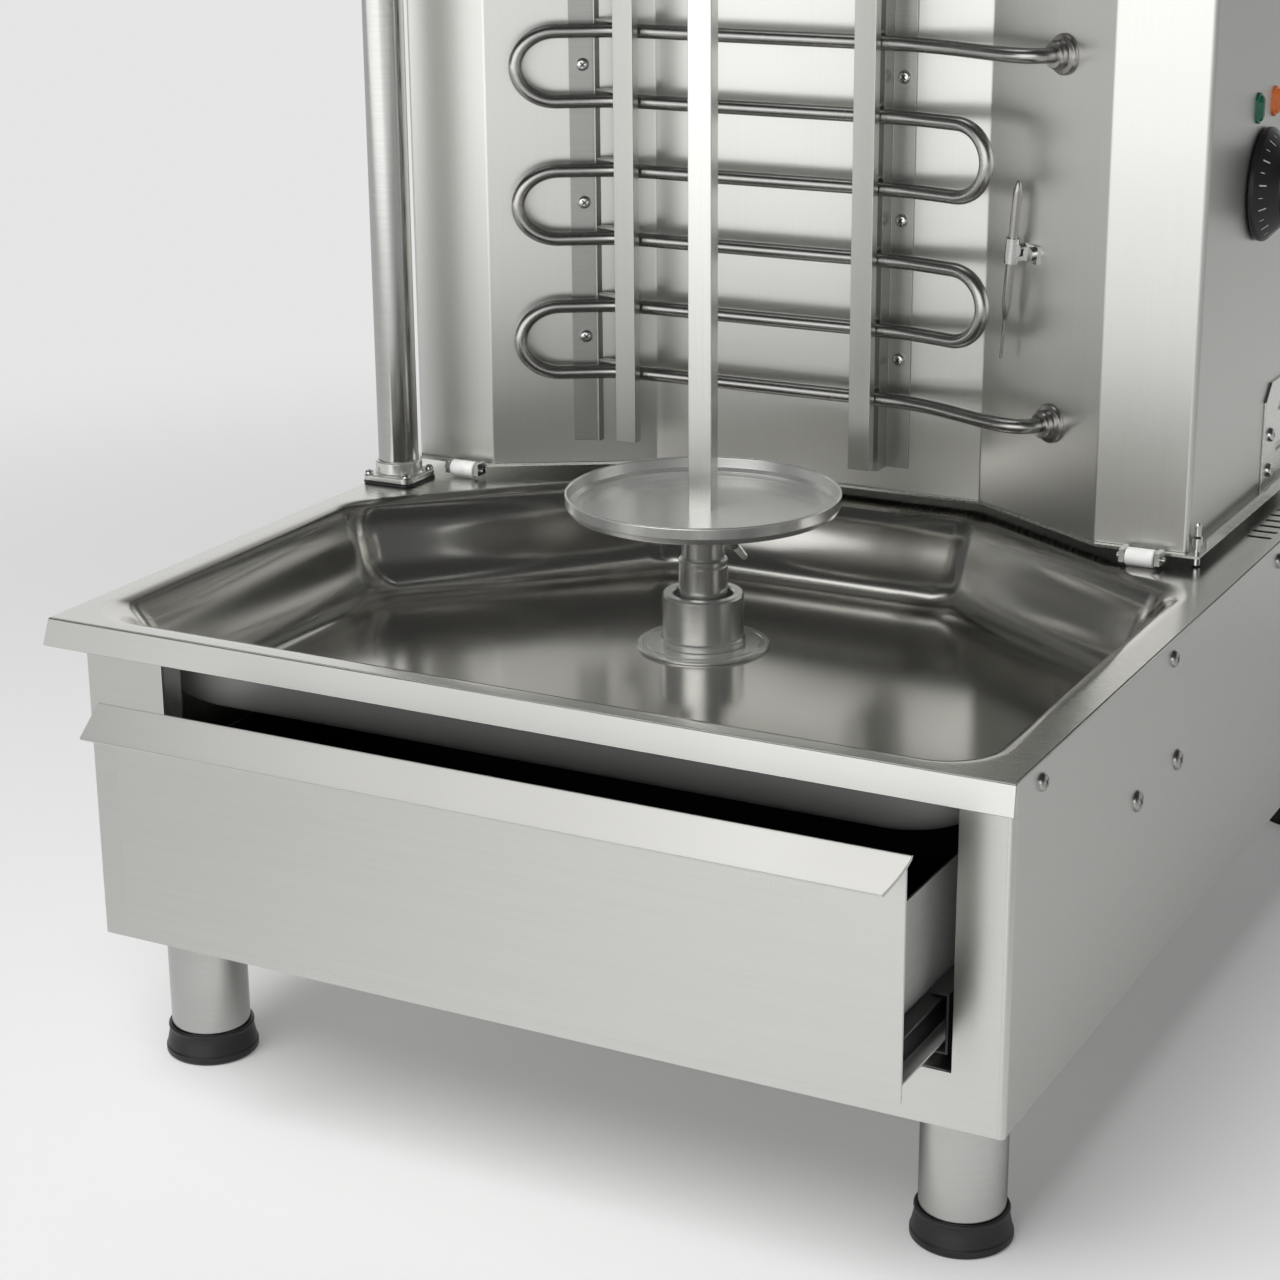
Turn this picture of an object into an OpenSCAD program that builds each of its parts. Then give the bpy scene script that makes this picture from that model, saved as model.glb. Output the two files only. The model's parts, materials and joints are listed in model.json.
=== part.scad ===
// Vertical kebab grill: a cabinet with a grease drawer and a recessed pan, a driven spit,
// a sliding heater tower on rollers and a post whose arm steadies the top of the spit.
// Lengths are millimetres. The working axes run from the middle of the deck's front hem,
// and to_frame() moves them so that the origin is under the middle of the whole object.

/* [Deck and cabinet] */
// Width of the deck
deck_w = 530; // [480:1:620]
// Depth of the deck
deck_d = 680; // [640:1:760]
// Height of the deck above the floor
deck_h = 248; // [242:1:290]
// Thickness of the sheet metal
sheet_t = 1.5; // [1.2:0.1:2]
// Height of the deck's turned-down hem
hem_h = 15; // [13:0.5:17]
// Overhang of the deck past the cabinet's left side
left_overhang = 27; // [16:1:32]
// Height of the cabinet's underside above the floor
leg_h = 77; // [60:1:85]
// Width of the front frame's left stile
left_stile = 47; // [40:1:54]
// Width of the front frame's right stile
right_stile = 26; // [22:1:32]
// Height of the front frame's bottom rail
bottom_rail = 28; // [22:1:34]
// Depth of the returns behind the drawer opening
return_d = 14; // [8:1:18]

/* [Legs and feet] */
// Diameter of a leg tube
leg_dia = 42; // [34:1:50]
// Wall of a leg tube
leg_wall = 2; // [1.5:0.5:4]
// Distance of a leg's axis from the cabinet's side
leg_inset_x = 34; // [30:1:44]
// Distance of a leg's axis from the deck's front or rear edge
leg_inset_y = 42; // [36:1:60]
// Diameter of a foot at the floor
foot_dia = 49.6; // [46:0.2:56]
// Height of a foot
foot_h = 17; // [12:1:26]
// Thickness of a foot's sole under the tube
foot_sole = 5; // [3:1:8]

/* [Pan] */
// Depth of the pan's floor below the deck
pan_depth = 51; // [40:1:56]
// Width of the deck's rim in front of the pan
pan_rim_front = 13; // [10:1:24]
// Width of the deck's rim at the pan's left
pan_rim_left = 15; // [10:1:26]
// Width of the deck's rim at the pan's right
pan_rim_right = 18; // [10:1:30]
// Radius of the pan's corners
pan_corner_r = 30; // [22:1:36]
// Height of the sloping band under the rim
pan_slope_h = 14; // [8:1:20]
// Width of the sloping band at the sides and back
pan_slope_w = 16; // [8:1:18]
// Width of the sloping band at the front
pan_slope_front = 18; // [16:1:40]

/* [Drawer] */
// How far the drawer stands open at rest
drawer_open = 45; // [20:1:70]
// Gap round the drawer's front inside the frame
drawer_gap = 5; // [3:0.5:7]
// Depth of the drawer's box
drawer_d = 194; // [150:1:200]
// Height of the drawer's walls
drawer_wall_h = 81; // [60:1:81]
// Height of the drawer's floor above the bottom of its front
drawer_lift = 3; // [2:0.5:6]
// Thickness of a telescopic slide
slide_w = 12.7; // [11:0.1:14]
// Height of a telescopic slide
slide_h = 30; // [26:1:36]
// Forward reach of the pull lip
lip_run = 18; // [12:1:24]
// Drop of the pull lip over its reach
lip_drop = 12; // [8:1:18]
// Overhang of the pull lip past the left end of the front
lip_over_left = 8; // [0:0.5:9]
// Overhang of the pull lip past the right end of the front
lip_over_right = 2.5; // [0:0.5:6]
// Slant of the pull lip's ends over its reach
lip_cut = 3; // [0:0.5:6]

/* [Spit and drive] */
// Position of the spit's axis to the right of the deck's middle
spit_x = -10; // [-11:0.5:-6]
// Distance of the spit's axis behind the deck's front edge
spit_y = 250; // [235:1:256]
// Side of the square spit
spit_side = 13; // [10:0.5:15]
// Turn of the spit's faces about its axis
spit_turn = 10; // [0:1:45]
// Height of the spit's top end
spit_top = 838; // [780:1:870]
// Diameter of the meat plate
plate_dia = 151; // [120:1:170]
// Height of the meat plate's underside above the pan floor
plate_lift = 77.5; // [66:0.5:90]
// Height of the meat plate's rim
plate_rim_h = 10.8; // [6:0.2:16]
// Diameter of the bearing housing's collar
collar_dia = 45; // [41:0.5:52]
// Height of the bearing housing above its flange
collar_h = 29; // [26:1:36]
// Diameter of the flange disc on the pan floor
flange_dia = 74; // [64:1:90]
// Diameter of the drive sleeve
sleeve_dia = 27; // [25:0.5:30]
// Height of the sleeve above the collar
sleeve_h = 20; // [14:1:26]
// Diameter of the plate's hub
hub_dia = 24; // [22:0.5:28]
// Diameter of the drive shaft in its bearings
shaft_dia = 20; // [16:0.5:22]

/* [Tower] */
// Distance of the tower's front behind the deck's front edge
tower_y = 346; // [340:1:352]
// How much narrower the tower is than the deck
tower_side = 44; // [40:1:60]
// Depth of the tower
tower_d = 214; // [190:1:230]
// Height of the tower's shell
tower_h = 594; // [560:1:620]
// Gap between the deck and the tower's shell
tower_gap = 8; // [7:0.5:10]
// Width of the recess at the tower's front
recess_w = 380; // [360:1:390]
// Width of the recess's back panel
panel_w = 208; // [200:1:220]
// Depth of the recess
recess_d = 50; // [44:1:56]
// Margin of the carriage tray outside the shell's sides
tray_margin = 7; // [6:0.5:8]
// Diameter of a roller
roller_dia = 10; // [9:0.2:10.4]
// Length of a roller
roller_len = 16; // [12:1:20]

/* [Heaters] */
// Diameter of a heater tube
rod_dia = 8.2; // [6.5:0.1:9]
// Height between neighbouring passes of a heater
rod_pitch = 40; // [34:1:42]
// Height of the lowest pass above the tower's foot
heater_lift = 58; // [50:1:66]
// Height from one heater to the next
zone_pitch = 260; // [245:1:275]
// Span of a heater from bend to bend
heater_w = 292; // [280:1:296]
// Sideways place of the heaters from the tower's middle
heater_off = -27; // [-30:1:-22]
// Gap between the back panel and the heater tubes' axis
heater_gap = 18; // [16:1:20]
// Half the distance between the two guard bars
guard_half = 75; // [70:1:78]
// Width of a guard bar
guard_w = 13; // [10:0.5:14]
// Depth of a guard bar
guard_d = 7; // [4:0.5:8]

/* [Controls] */
// Distance of the control column behind the tower's front
control_y = 100; // [90:1:130]
// Height of a knob above the tower's foot
knob_lift = 184; // [160:1:210]
// Diameter of a knob's skirt
knob_dia = 62; // [50:1:66]
// Reach of a knob from the tower's side
knob_reach = 28; // [22:1:30]
// Width of a pilot light
pilot_w = 9; // [7:0.5:12]
// Height of a pilot light
pilot_h = 15; // [13:0.5:20]
// Height of the pilot lights above their knob
pilot_lift = 43; // [42:1:60]
// Half the distance between two pilot lights
pilot_half = 16; // [10:1:17]

/* [Post and arm] */
// Distance of the post's axis from the deck's left edge
post_inset = 17.5; // [17.5:0.5:22]
// Distance of the post behind the deck's front edge
post_y = 314; // [312:0.5:316]
// Diameter of the post
post_dia = 24; // [20:1:28]
// Side of the post's square flange
post_flange = 33; // [31:1:34]
// Thickness of the top arm
arm_t = 22; // [16:1:28]
// Gap between the spit's top end and the arm
arm_gap = 14; // [10:1:24]

/* [Hidden] */
$fn = 64;

// Clearances: between moving pieces, in running fits, and between pieces that slip together
move_gap = 0.4;
run_gap = 0.05;
slip_gap = 0.1;

// Cabinet lines
deck_l = -deck_w / 2;
deck_r = deck_w / 2;
cab_l = deck_l + left_overhang;
under_deck = deck_h - sheet_t;
hem_z = deck_h - hem_h;
frame_y = sheet_t;
inner_y = 2 * sheet_t;
rear_y = deck_d - 2 * sheet_t;
door_l = cab_l + left_stile;
door_r = deck_r - right_stile;
door_z = leg_h + bottom_rail;
floor_top = leg_h + sheet_t;

// Pan outlines, anticlockwise from the front left corner
pan_z = deck_h - pan_depth;
crease_z = deck_h - pan_slope_h;
pan_l = deck_l + pan_rim_left;
pan_r = deck_r - pan_rim_right;
pan_back = tower_y + recess_d + 4;
pan_post_gap = 56;
pan_left_end = post_y - pan_post_gap;
pan_right_end = tower_y - 41;
pan_points = [
    [pan_l, pan_rim_front], [pan_r, pan_rim_front], [pan_r, pan_right_end],
    [spit_x + panel_w / 2 - 2, pan_back], [spit_x - panel_w / 2 + 8, pan_back], [pan_l, pan_left_end]
];
band_left = max(pan_slope_w, cab_l + 2 * sheet_t + 1 - pan_l);
band_widths = [
    pan_slope_front, pan_slope_w, pan_slope_w, pan_slope_w, pan_slope_w, band_left
];

// Drawer
front_l = door_l + drawer_gap;
front_r = door_r - drawer_gap;
front_z = door_z + drawer_gap - 1;
front_top = hem_z - drawer_gap;
front_y = -drawer_open;
front_back = front_y + sheet_t;
box_l = front_l + slide_w - 2;
box_r = front_r - slide_w + 2;
box_z = front_z + drawer_lift;
box_back = front_back + drawer_d;
slide_z = box_z;
slide_l = box_l - slide_w;
slide_r = box_r + slide_w;
slide_len = drawer_d;
slide_y = inner_y + 1;
slide_back = 30;
slide_t = 1.2;

// Spit, plate and drive
flange_t = 2;
flange_top = pan_z + flange_t;
collar_top = flange_top + collar_h;
sleeve_top = collar_top + sleeve_h;
plate_z = pan_z + plate_lift;
plate_r = plate_dia / 2;
spigot_dia = collar_dia - 5;
bearing_dia = shaft_dia + 12;
bearing_h = 10;
bracket_t = 3;
gear_top = pan_z - sheet_t - bracket_t - 26;
gear_h = 45;
gear_w = 90;
gear_d = 74;
shaft_in_gear = 32;
shaft_low = gear_top - shaft_in_gear;
spit_low = sleeve_top - 14;
seal_h = 4;
bore_dia = bearing_dia + 2 * run_gap;
screw_z = sleeve_top + 10;
screw_r = 2.5;
pin_hole_d = 15;

// Tower
tower_x = spit_x;
tower_w = deck_w - tower_side;
tower_l = tower_x - tower_w / 2;
tower_r = tower_x + tower_w / 2;
tower_z = deck_h + tower_gap;
tower_top_z = tower_z + tower_h;
tower_back_y = tower_y + tower_d;
panel_y = tower_y + recess_d;
tray_t = 1.5;
tray_z = tower_z - tray_t;
tray_edge = 2;
tray_lead = 4;
tray_tail = 14;
tray_l = tower_l - tray_edge;
tray_r = tower_r + tray_margin;
tray_front = tower_y - tray_lead;
tray_rear = tower_back_y + tray_tail;
wing = unit([panel_w / 2 - recess_w / 2, recess_d]);
wing_angle = atan2(recess_d, recess_w / 2 - panel_w / 2);
recess_l = tower_x - recess_w / 2;
recess_r = tower_x + recess_w / 2;
roller_z = deck_h + move_gap + roller_dia / 2;
roller_out = 5.5;
roller_in_l = 38;
roller_in_r = 23;
roller_front_y = tray_front - roller_out;
roller_rear_y = tray_rear + roller_out;
roller_xs = [tower_l + roller_in_l, tower_r - roller_in_r];
bracket_y = 134;
bracket_h = 64;
bracket_cut = 10;
bracket_edge = 4;
bracket_screw_in = 12;
bracket_screw_pitch = 21;
vent_gap = 4;
vent_len = 14;
vent_first = 73;
vent_w = 4;
vent_pitch = 12;
cheek_t = 3;
axle_dia = 3;

// Heaters
heater_x = tower_x + heater_off;
heater_z = tower_z + heater_lift;
passes = 6;
rod_r = rod_dia / 2;
rod_y = panel_y - heater_gap;
straight_half = 92;
left_slope = tan(33);
right_slope = tan(17);
bend_soft = 8;
terminal_share = 0.6;
terminal = [recess_r, tower_y] + (1 - terminal_share) * [panel_w / 2 - recess_w / 2, recess_d];
zone_zs = [heater_z, heater_z + zone_pitch];
zone_h = (passes - 1) * rod_pitch;
strip_low = heater_z - 44;
strip_top = heater_z + zone_pitch + zone_h + 56;
strip_t = 1.5;
strip_web = 5.5;
strip_end = 19;
strip_lip = 4;
strip_screw_out = 12;
left_strip_out = 23;
left_strip_w = 15;
left_strip_screw = 8;
guard_off = -7;
guard_l = heater_x + guard_off - guard_half;
guard_r = heater_x + guard_off + guard_half;
left_web = guard_l - left_strip_out;
lip_y = rod_y + rod_r + slip_gap;
nut_washer_r = 11;
probe_share = 0.3;
probe_foot = [tower_x + panel_w / 2, panel_y] - probe_share * [panel_w / 2 - recess_w / 2, recess_d];

// Controls on the tower's right side
control_ay = tower_y + control_y;
knob_zs = [tower_z + knob_lift, tower_z + knob_lift + zone_pitch];
stem_r = 3;
stem_len = 20;
thermostat_w = 23;
thermostat_h = 44;
thermostat_d = 30;
pilot_d = 18;
rocker_z = knob_zs[1] + pilot_lift + 50;
rocker_w = 14;
rocker_h = 20;
bezel_t = 2;
switch_d = 24;
rocker_pin_r = 1.5;
rocker_pin_x = tower_r - 2;

// Post and arm
gasket_t = 1.5;
flange_plate_t = 4;
post_x = deck_l + post_inset;
post_foot_z = deck_h + gasket_t;
post_collar_dia = post_dia + 4;
post_collar_h = 8;
arm_z = spit_top + arm_gap;
arm_top = arm_z + arm_t;
pin_r = 5;
pin_tip_r = 4;
post_bolt_half = post_flange / 2 - 3.5;
post_flange_r = 5;
bolt_r = 1.5;
bolt_head = 2.6;

// Screws of the right side panel: place along the side, height and head radius
screw_first = 34;
screw_last = 79;
screw_pitch = (deck_d - screw_first - screw_last) / 3;
screw_drop = 9.5;
screw_head = 4.4;
stay_first = 174;
stay_pitch = 64;
stay_drop = 68;
stay_head = 5.6;
side_screws = concat(
    [for (i = [0:3]) [screw_first + i * screw_pitch, deck_h - screw_drop, screw_head]],
    [for (i = [0, 1]) [stay_first + i * stay_pitch, deck_h - stay_drop, stay_head]]
);
head_h = 2.4;

// The object's box at rest, which sets the origin
box_x = (deck_l + deck_r + head_h) / 2;
gland_reach = 16;
box_y = (front_y - lip_run + deck_d - sheet_t + gland_reach) / 2;

module to_frame() {
    translate([-box_x, -box_y, 0]) children();
}

// Outline helpers
function unit(v) = v / norm(v);
function left_of(v) = [-v.y, v.x];
function cross2(a, b) = a.x * b.y - a.y * b.x;
function meet(p, u, q, v) = p + u * cross2(q - p, v) / cross2(u, v);

// Moves each edge of an anticlockwise outline inwards by its own distance
function inset(pts, d) = let (n = len(pts)) [
    for (i = [0:n - 1])
        let (j = (i + n - 1) % n, u = unit(pts[i] - pts[j]), v = unit(pts[(i + 1) % n] - pts[i]))
            meet(pts[j] + left_of(u) * d[j], u, pts[i] + left_of(v) * d[i], v)
];
function same(pts, d) = [for (p = pts) d];

function corner_arc(a, b, c, r, n) = let (
    u = unit(a - b),
    v = unit(c - b),
    half = acos(u * v) / 2,
    mid = b + unit(u + v) * r / sin(half),
    p = b + u * r / tan(half) - mid,
    q = b + v * r / tan(half) - mid,
    start = atan2(p.y, p.x),
    sweep = (atan2(q.y, q.x) - start + 540) % 360 - 180
) [for (i = [0:n]) mid + r * [cos(start + sweep * i / n), sin(start + sweep * i / n)]];

function rounded(pts, r, n = 6) = let (m = len(pts)) [
    for (i = [0:m - 1]) each corner_arc(pts[(i + m - 1) % m], pts[i], pts[(i + 1) % m], r, n)
];

// A closed solid between two outlines with as many points each
module loft(low, low_z, high, high_z) {
    n = len(low);
    polyhedron(
        points = concat([for (p = low) [p.x, p.y, low_z]], [for (p = high) [p.x, p.y, high_z]]),
        faces = concat(
            [[for (i = [0:n - 1]) i], [for (i = [n - 1:-1:0]) n + i]],
            [for (i = [0:n - 1]) [i, n + i, n + (i + 1) % n]],
            [for (i = [0:n - 1]) [i, n + (i + 1) % n, (i + 1) % n]]
        )
    );
}

module prism(pts, low, high) {
    translate([0, 0, low]) linear_extrude(high - low) polygon(pts);
}

module block(x0, x1, y0, y1, z0, z1) {
    translate([x0, y0, z0]) cube([x1 - x0, y1 - y0, z1 - z0]);
}

module upright(x, y, z0, z1, r) {
    translate([x, y, z0]) cylinder(h = z1 - z0, r = r);
}

// A cylinder along X from x0 to x1
module along_x(x0, x1, y, z, r) {
    translate([x0, y, z]) rotate([0, 90, 0]) cylinder(h = x1 - x0, r = r);
}

module ring(r_out, r_in, h) {
    rotate_extrude() translate([r_in, 0]) square([r_out - r_in, h]);
}

// A button-head screw along +Z whose head's seat is at zero
module button_screw(head_r, shank_r, shank_len) {
    rotate_extrude() polygon([
        [0, 0], [0, -shank_len], [shank_r, -shank_len], [shank_r, 0], [head_r, 0],
        [head_r, head_h * 0.35], [head_r * 0.6, head_h], [head_r * 0.4, head_h],
        [head_r * 0.4, head_h * 0.45], [0, head_h * 0.45]
    ]);
}

// The same head alone, for a screw whose shank stays inside the sheet
module button_head(head_r) {
    rotate_extrude() polygon([
        [0, 0], [head_r, 0], [head_r, head_h * 0.35], [head_r * 0.6, head_h], [head_r * 0.4, head_h],
        [head_r * 0.4, head_h * 0.45], [0, head_h * 0.45]
    ]);
}

module at_leg_places() {
    for (x = [cab_l + leg_inset_x, deck_r - leg_inset_x])
        for (y = [leg_inset_y, deck_d - leg_inset_y])
            translate([x, y, 0]) children();
}

module at_post_bolts() {
    for (x = [-1, 1])
        for (y = [-1, 1])
            translate([post_x + x * post_bolt_half, post_y + y * post_bolt_half, 0]) children();
}

// Cabinet

module pan_outside() {
    rim = rounded(inset(pan_points, same(pan_points, -sheet_t)), pan_corner_r + sheet_t);
    crease = inset(pan_points, band_widths);
    crease_out = rounded(inset(crease, same(pan_points, -sheet_t)), pan_corner_r + sheet_t);
    loft(crease_out, crease_z - sheet_t, rim, deck_h - sheet_t / 2);
    prism(crease_out, pan_z - sheet_t, crease_z);
}

module pan_inside() {
    rim = rounded(pan_points, pan_corner_r);
    crease = rounded(inset(pan_points, band_widths), pan_corner_r);
    loft(crease, crease_z, rim, deck_h + 0.01);
    prism(rim, deck_h, deck_h + 5);
    prism(crease, pan_z, crease_z + 0.2);
}

module vent_slots() {
    for (i = [0:7])
        translate([tray_r + vent_gap, tower_y + vent_first + i * vent_pitch, hem_z])
            cube([vent_len, vent_w, hem_h + 1]);
}

module deck_pan() {
    color("silver") to_frame() difference() {
        union() {
            block(deck_l, deck_r - sheet_t, 0, deck_d, under_deck, deck_h);
            block(deck_l, deck_r - sheet_t, 0, sheet_t, hem_z, deck_h);
            block(deck_l, deck_r - sheet_t, deck_d - sheet_t, deck_d, hem_z, deck_h);
            block(deck_l, deck_l + sheet_t, 0, deck_d, hem_z, deck_h);
            block(deck_r - 2 * sheet_t, deck_r - sheet_t, inner_y, rear_y, hem_z, deck_h);
            pan_outside();
        }
        pan_inside();
        vent_slots();
        upright(spit_x, spit_y, pan_z - 5, pan_z + 1, spigot_dia / 2 + slip_gap);
        at_post_bolts() upright(0, 0, under_deck - 1, deck_h + 1, bolt_r + slip_gap);
        upright(lock_x, lock_y, under_deck - 1, deck_h + 1, lock_r + move_gap);
        for (s = side_screws)
            along_x(deck_r - 10, deck_r, s.x, s.y, 2 + slip_gap);
    }
}

module front_frame() {
    color("silver") to_frame() {
        difference() {
            block(cab_l, deck_r - sheet_t, frame_y, inner_y, leg_h, under_deck);
            block(door_l, door_r, -1, inner_y + 1, door_z, hem_z);
        }
        difference() {
            block(door_l - sheet_t, door_r + sheet_t, inner_y - 0.5, inner_y + return_d,
                door_z - sheet_t, hem_z);
            block(door_l, door_r, 0, deck_d, door_z, deck_h);
        }
    }
}

module left_side_panel() {
    notch_end = pan_left_end + pan_corner_r;
    color("silver") to_frame() difference() {
        block(cab_l, cab_l + sheet_t, inner_y, rear_y, leg_h, under_deck);
        block(cab_l - 1, cab_l + 10, 0, notch_end, crease_z - 2 * sheet_t, deck_h);
    }
}

module right_side_panel() {
    color("silver") to_frame() difference() {
        block(deck_r - sheet_t, deck_r, 0, deck_d, leg_h, deck_h);
        for (s = side_screws)
            along_x(deck_r - 10, deck_r + 1, s.x, s.y, 2 + slip_gap);
    }
}

gland_x = cab_l + 90;
gland_z = leg_h + 45;
gland_bore_r = 6;
gland_bore_d = 14;
gland_thread_r = 9;
louvre_x = 70;
louvre_w = 6;
louvre_pitch = 16;
louvre_lift = 70;
louvre_h = 50;

module rear_panel() {
    color("silver") to_frame() difference() {
        block(cab_l, deck_r - sheet_t, rear_y, deck_d - sheet_t, leg_h, under_deck);
        translate([gland_x, deck_d, gland_z]) rotate([90, 0, 0])
            cylinder(h = 10, r = gland_thread_r + slip_gap);
        for (i = [0:8])
            translate([louvre_x + i * louvre_pitch, rear_y - 1, leg_h + louvre_lift])
                cube([louvre_w, 4 * sheet_t, louvre_h]);
    }
}

module bottom_panel() {
    color("silver") to_frame()
        block(cab_l + sheet_t, deck_r - sheet_t, inner_y, rear_y, leg_h, floor_top);
}

module legs() {
    color("gainsboro") to_frame() at_leg_places() difference() {
        upright(0, 0, foot_sole, leg_h, leg_dia / 2);
        upright(0, 0, foot_sole - 1, leg_h - 6, leg_dia / 2 - leg_wall);
    }
}

module feet() {
    mouth_r = leg_dia / 2 + slip_gap;
    color("#1a1a1a") to_frame() at_leg_places() rotate_extrude() polygon([
        [0, 0], [foot_dia / 2 - 1, 0], [foot_dia / 2, 2], [foot_dia / 2, 4.5],
        [mouth_r + 1.4, foot_h - 3], [mouth_r + 1.8, foot_h], [mouth_r, foot_h],
        [mouth_r, foot_sole], [0, foot_sole]
    ]);
}

module panel_screws() {
    color("whitesmoke") to_frame() for (s = side_screws)
        translate([deck_r, s.x, s.y]) rotate([0, 90, 0]) button_screw(s.z, 2, 5);
}

module cable_gland() {
    color("#202020") to_frame() translate([gland_x, rear_y, gland_z]) rotate([-90, 0, 0]) difference() {
        union() {
            translate([0, 0, -8]) cylinder(h = 8 + sheet_t, r = gland_thread_r);
            translate([0, 0, -6]) cylinder(h = 6, r = 13, $fn = 6);
            translate([0, 0, sheet_t]) cylinder(h = 8, r = 13, $fn = 6);
            translate([0, 0, sheet_t + 8]) cylinder(h = gland_reach - 8, r = 10);
        }
        translate([0, 0, sheet_t + gland_reach - gland_bore_d]) cylinder(h = 50, r = gland_bore_r);
    }
}

module terminal_block() {
    color("ivory") to_frame() difference() {
        block(gland_x - 30, gland_x + 50, rear_y - 70, rear_y - 48, floor_top, floor_top + 24);
        for (i = [0:4])
            upright(gland_x - 20 + i * 15, rear_y - 59, floor_top + 12, floor_top + 30, 3.5);
    }
}

// Drawer and its slides

module slide_supports() {
    y0 = inner_y + return_d + 7;
    y1 = y0 + slide_len;
    foot = 16;
    top = slide_z + slide_h + 6;
    color("darkgray") to_frame() {
        block(slide_r, slide_r + sheet_t, y0, y1, floor_top, top);
        block(slide_r + sheet_t, slide_r + foot, y0, y1, floor_top, floor_top + sheet_t);
        block(slide_l - sheet_t, slide_l, y0, y1, floor_top, top);
        block(slide_l - foot, slide_l - sheet_t, y0, y1, floor_top, floor_top + sheet_t);
    }
}

// A channel that opens towards +X, with its web at x0 and its flanges reaching to x1
module channel(x0, x1, y0, y1, z0, z1) {
    difference() {
        block(x0, x1, y0, y1, z0, z1);
        block(x0 + slide_t, x1 + 1, y0 - 1, y1 + 1, z0 + slide_t, z1 - slide_t);
    }
}

// Draws the right slide's member as given and the left one as its mirror image
module slide_pair() {
    middle = (box_l + box_r) / 2;
    for (side = [0, 1])
        translate([middle, 0, 0]) mirror([side, 0, 0]) translate([box_r - middle, 0, 0]) children();
}

module outer_slides() {
    color("dimgray") to_frame() slide_pair() translate([slide_w, 0, 0]) mirror([1, 0, 0])
        channel(0, slide_w - 3, slide_y, slide_y + slide_len, slide_z, slide_z + slide_h);
}

module middle_slides() {
    lift = slide_t + move_gap;
    color("#303030") to_frame() slide_pair() translate([slide_w - slide_t - move_gap, 0, 0])
        mirror([1, 0, 0]) channel(0, slide_w - 4.5, slide_y - drawer_open / 2 + slide_back,
            slide_y - drawer_open / 2 + slide_len, slide_z + lift, slide_z + slide_h - lift);
}

module inner_slides() {
    lift = 2 * (slide_t + move_gap);
    color("lightgray") to_frame() slide_pair()
        channel(0, slide_w - 2 * (slide_t + move_gap) - 0.8, slide_y - drawer_open,
            slide_y - drawer_open + slide_len, slide_z + lift, slide_z + slide_h - lift);
}

module drawer_box() {
    color("lightgray") to_frame() difference() {
        block(box_l, box_r, front_back, box_back, box_z, box_z + drawer_wall_h);
        block(box_l + slide_t, box_r - slide_t, front_back + slide_t, box_back - slide_t,
            box_z + slide_t, deck_h);
    }
}

module drawer_front() {
    fall = lip_drop / lip_run;
    under = sheet_t * sqrt(1 + fall * fall);
    lip_l = front_l - lip_over_left;
    lip_r = front_r + lip_over_right;
    lip_front = front_y - lip_run;
    color("silver") to_frame() {
        block(front_l, front_r, front_y, front_back, front_z, front_top - 4 * sheet_t);
        intersection() {
            translate([lip_l, 0, 0]) rotate([90, 0, 90]) linear_extrude(lip_r - lip_l) polygon([
                [front_back, front_top - 5 * sheet_t], [front_y, front_top - 5 * sheet_t],
                [front_y, front_top - under - sheet_t * fall], [lip_front, front_top - lip_drop - under],
                [lip_front, front_top - lip_drop], [front_back, front_top]
            ]);
            prism([
                [lip_l + lip_cut / 2, lip_front], [lip_r - lip_cut, lip_front], [lip_r, front_y],
                [lip_r, front_back + 1], [lip_l, front_back + 1], [lip_l, front_y]
            ], front_z, deck_h);
        }
    }
}

// Spit drive

module pan_flange() {
    color("gray") to_frame() translate([spit_x, spit_y, pan_z]) rotate_extrude() polygon([
        [spigot_dia / 2 + slip_gap, 0], [flange_dia / 2, 0], [flange_dia / 2, flange_t * 0.5],
        [flange_dia / 2 - 1, flange_t], [spigot_dia / 2 + slip_gap, flange_t]
    ]);
}

seal_z = collar_top - 3 - seal_h;

module bearing_housing() {
    foot_r = collar_dia / 2 + 1;
    sleeve_bore = sleeve_dia / 2 + 3;
    color("silver") to_frame() translate([spit_x, spit_y, 0]) rotate_extrude() polygon([
        [bore_dia / 2, gear_top], [spigot_dia / 2, gear_top], [spigot_dia / 2, flange_top],
        [foot_r, flange_top], [foot_r, flange_top + 3], [collar_dia / 2, flange_top + 4],
        [collar_dia / 2, collar_top - 1], [collar_dia / 2 - 1, collar_top],
        [sleeve_bore, collar_top], [sleeve_bore, seal_z], [bore_dia / 2, seal_z]
    ]);
}

module shaft_bearings() {
    color("dimgray") to_frame() for (z = [gear_top, seal_z - bearing_h - 1])
        translate([spit_x, spit_y, z]) ring(bearing_dia / 2, shaft_dia / 2 + run_gap, bearing_h);
}

module shaft_seal() {
    color("#181818") to_frame() translate([spit_x, spit_y, seal_z])
        ring(sleeve_dia / 2 + 3 - run_gap, sleeve_dia / 2 + run_gap, seal_h);
}

module motor_bracket() {
    side = gear_w / 2;
    color("darkgray") to_frame() translate([spit_x, spit_y, 0]) difference() {
        union() {
            block(-side - bracket_t, side + bracket_t, -gear_d / 2, gear_d / 2,
                pan_z - sheet_t - bracket_t, pan_z - sheet_t);
            for (x = [-side - bracket_t, side])
                block(x, x + bracket_t, -gear_d / 2, gear_d / 2, gear_top - gear_h + 8, pan_z - sheet_t);
        }
        upright(0, 0, gear_top, pan_z, spigot_dia / 2 + slip_gap);
    }
}

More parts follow.
